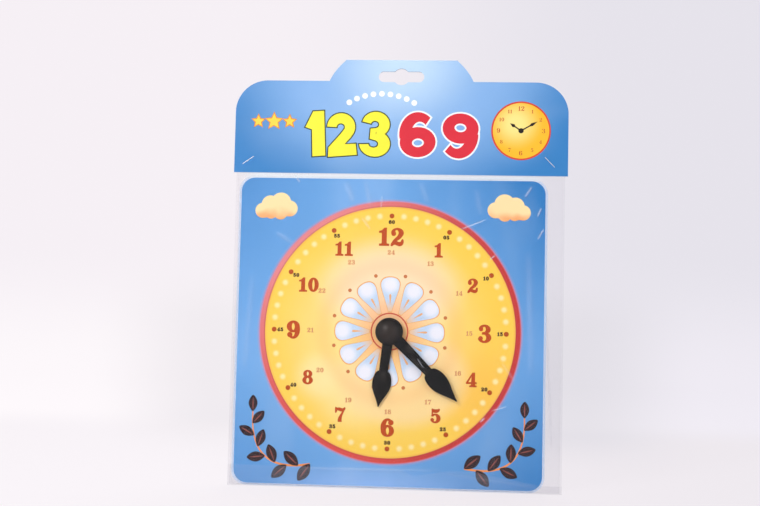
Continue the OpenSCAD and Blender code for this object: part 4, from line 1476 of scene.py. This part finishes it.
def add_sweep(s):
    """Floor that bends up into a wall."""
    wall_y, bend, far_x, top_z, near_y, steps = 2.4, 0.5, 7.0, 4.2, -6.0, 16
    bent = [(wall_y - bend + bend * math.sin(turn), FLOOR_Z + bend * (1 - math.cos(turn)))
            for turn in (math.radians(90 * i / steps) for i in range(steps + 1))]
    section = [(near_y, FLOOR_Z), *bent, (wall_y, top_z)]
    count = len(section)
    mesh = mesh_of("sweep", [(x, y, z) for x in (-far_x, far_x) for y, z in section],
                   [(i, i + count, i + 1 + count, i + 1) for i in range(count - 1)])
    mesh.shade_smooth()
    mesh.materials.append(stage_material(s))
    linked("sweep", mesh)


def add_world(s):
    """Even light all round, which the camera sees at the colour of the horizon."""
    world = bpy.data.worlds.new("studio")
    world.use_nodes = True
    tree = world.node_tree
    tree.nodes.clear()
    even = put(tree, "ShaderNodeBackground", {"Color": (0.97, 0.975, 1.0, 1.0), "Strength": s.sky})
    pale = put(tree, "ShaderNodeBackground", {"Color": (*s.horizon, 1.0), "Strength": 1.0})
    path = read(put(tree, "ShaderNodeLightPath").outputs)
    seen = path["Is Camera Ray"].maths("MAXIMUM", path["Is Transmission Ray"])
    both = put(tree, "ShaderNodeMixShader", {0: seen, 1: even.outputs[0], 2: pale.outputs[0]})
    put(tree, "ShaderNodeOutputWorld", {0: both.outputs[0]})
    bpy.context.scene.world = world


def add_lamp(name, power, size, place, colour):
    """Round lamp that points at the middle of the dial."""
    data = bpy.data.lights.new(name, "AREA")
    data.shape, data.size, data.energy, data.color = "DISK", size, power, colour
    lamp = linked(name, data)
    lamp.location = place
    lamp.rotation_euler = (DIAL - Vector(place)).to_track_quat("-Z", "Y").to_euler()


def add_camera(s):
    data = bpy.data.cameras.new("camera")
    data.lens = s.camera_lens
    data.sensor_width = 36
    data.sensor_fit = "HORIZONTAL"
    data.clip_start = 0.01
    camera = linked("camera", data)
    camera.location = s.camera_place
    upright = Euler((math.radians(90), 0, 0)).to_matrix()
    turn = (Euler((0, 0, s.camera_yaw)).to_matrix() @ Euler((s.camera_pitch, 0, 0)).to_matrix()
            @ Euler((0, s.camera_roll, 0)).to_matrix() @ upright)
    camera.rotation_euler = turn.to_euler()
    bpy.context.scene.camera = camera


class CLOCK_OT_stage(bpy.types.Operator):
    """Build the pale sweep, the lamps and the camera"""
    bl_idname = "clock.stage"
    bl_label = "Stage"

    def execute(self, context):
        s = context.scene.clock_stage
        context.scene.view_settings.view_transform = "Standard"
        add_sweep(s)
        add_world(s)
        add_lamp("key", s.key_power, 0.55, (-0.75, -1.25, 0.55), (1.0, 0.985, 0.96))
        add_lamp("fill", s.fill_power, 1.1, (1.1, -1.1, 0.15), (0.96, 0.975, 1.0))
        add_lamp("back", s.back_power, 1.2, (0.1, 0.75, 1.15), (1.0, 0.99, 0.98))
        add_camera(s)
        return {"FINISHED"}


class CLOCK_OT_shared_nodes(bpy.types.Operator):
    """Build the node groups that the finishes and the repeats share"""
    bl_idname = "clock.shared_nodes"
    bl_label = "Shared Nodes"

    def execute(self, context):
        for build in (printed_paper_group, soft_spot_group, dot_ring_group, round_edge_group,
                      moulded_plastic_group, film_crease_group, ring_of_copies, leaves_on_a_stem):
            build()
        return {"FINISHED"}


class CLOCK_PT_sidebar(bpy.types.Panel):
    """Panel that lists the clock's settings and its pieces"""
    bl_idname = "CLOCK_PT_sidebar"
    bl_label = "Teaching Clock"
    bl_space_type = "VIEW_3D"
    bl_region_type = "UI"
    bl_category = "Clock"

    def draw(self, context):
        for operator in OPERATORS:
            self.layout.operator(operator.bl_idname)
        for name, group in SETTINGS.items():
            box = self.layout.box()
            for prop in group.__annotations__:
                box.prop(getattr(context.scene, name), prop)


OPERATORS = (
    CLOCK_OT_shared_nodes, CLOCK_OT_board, CLOCK_OT_numerals, CLOCK_OT_rosette, CLOCK_OT_corner_motifs,
    CLOCK_OT_header_card, CLOCK_OT_small_clock, CLOCK_OT_hands, CLOCK_OT_staples, CLOCK_OT_film_bag,
    CLOCK_OT_stage,
)
CLASSES = (*SETTINGS.values(), *OPERATORS, CLOCK_PT_sidebar)


def register():
    for cls in CLASSES:
        bpy.utils.register_class(cls)
    for name, group in SETTINGS.items():
        setattr(bpy.types.Scene, name, bpy.props.PointerProperty(type=group))


def unregister():
    for name in SETTINGS:
        delattr(bpy.types.Scene, name)
    for cls in reversed(CLASSES):
        bpy.utils.unregister_class(cls)


def main():
    register()
    for operator in OPERATORS:
        family, name = operator.bl_idname.split(".")
        getattr(getattr(bpy.ops, family), name)()


if __name__ == "__main__":
    main()
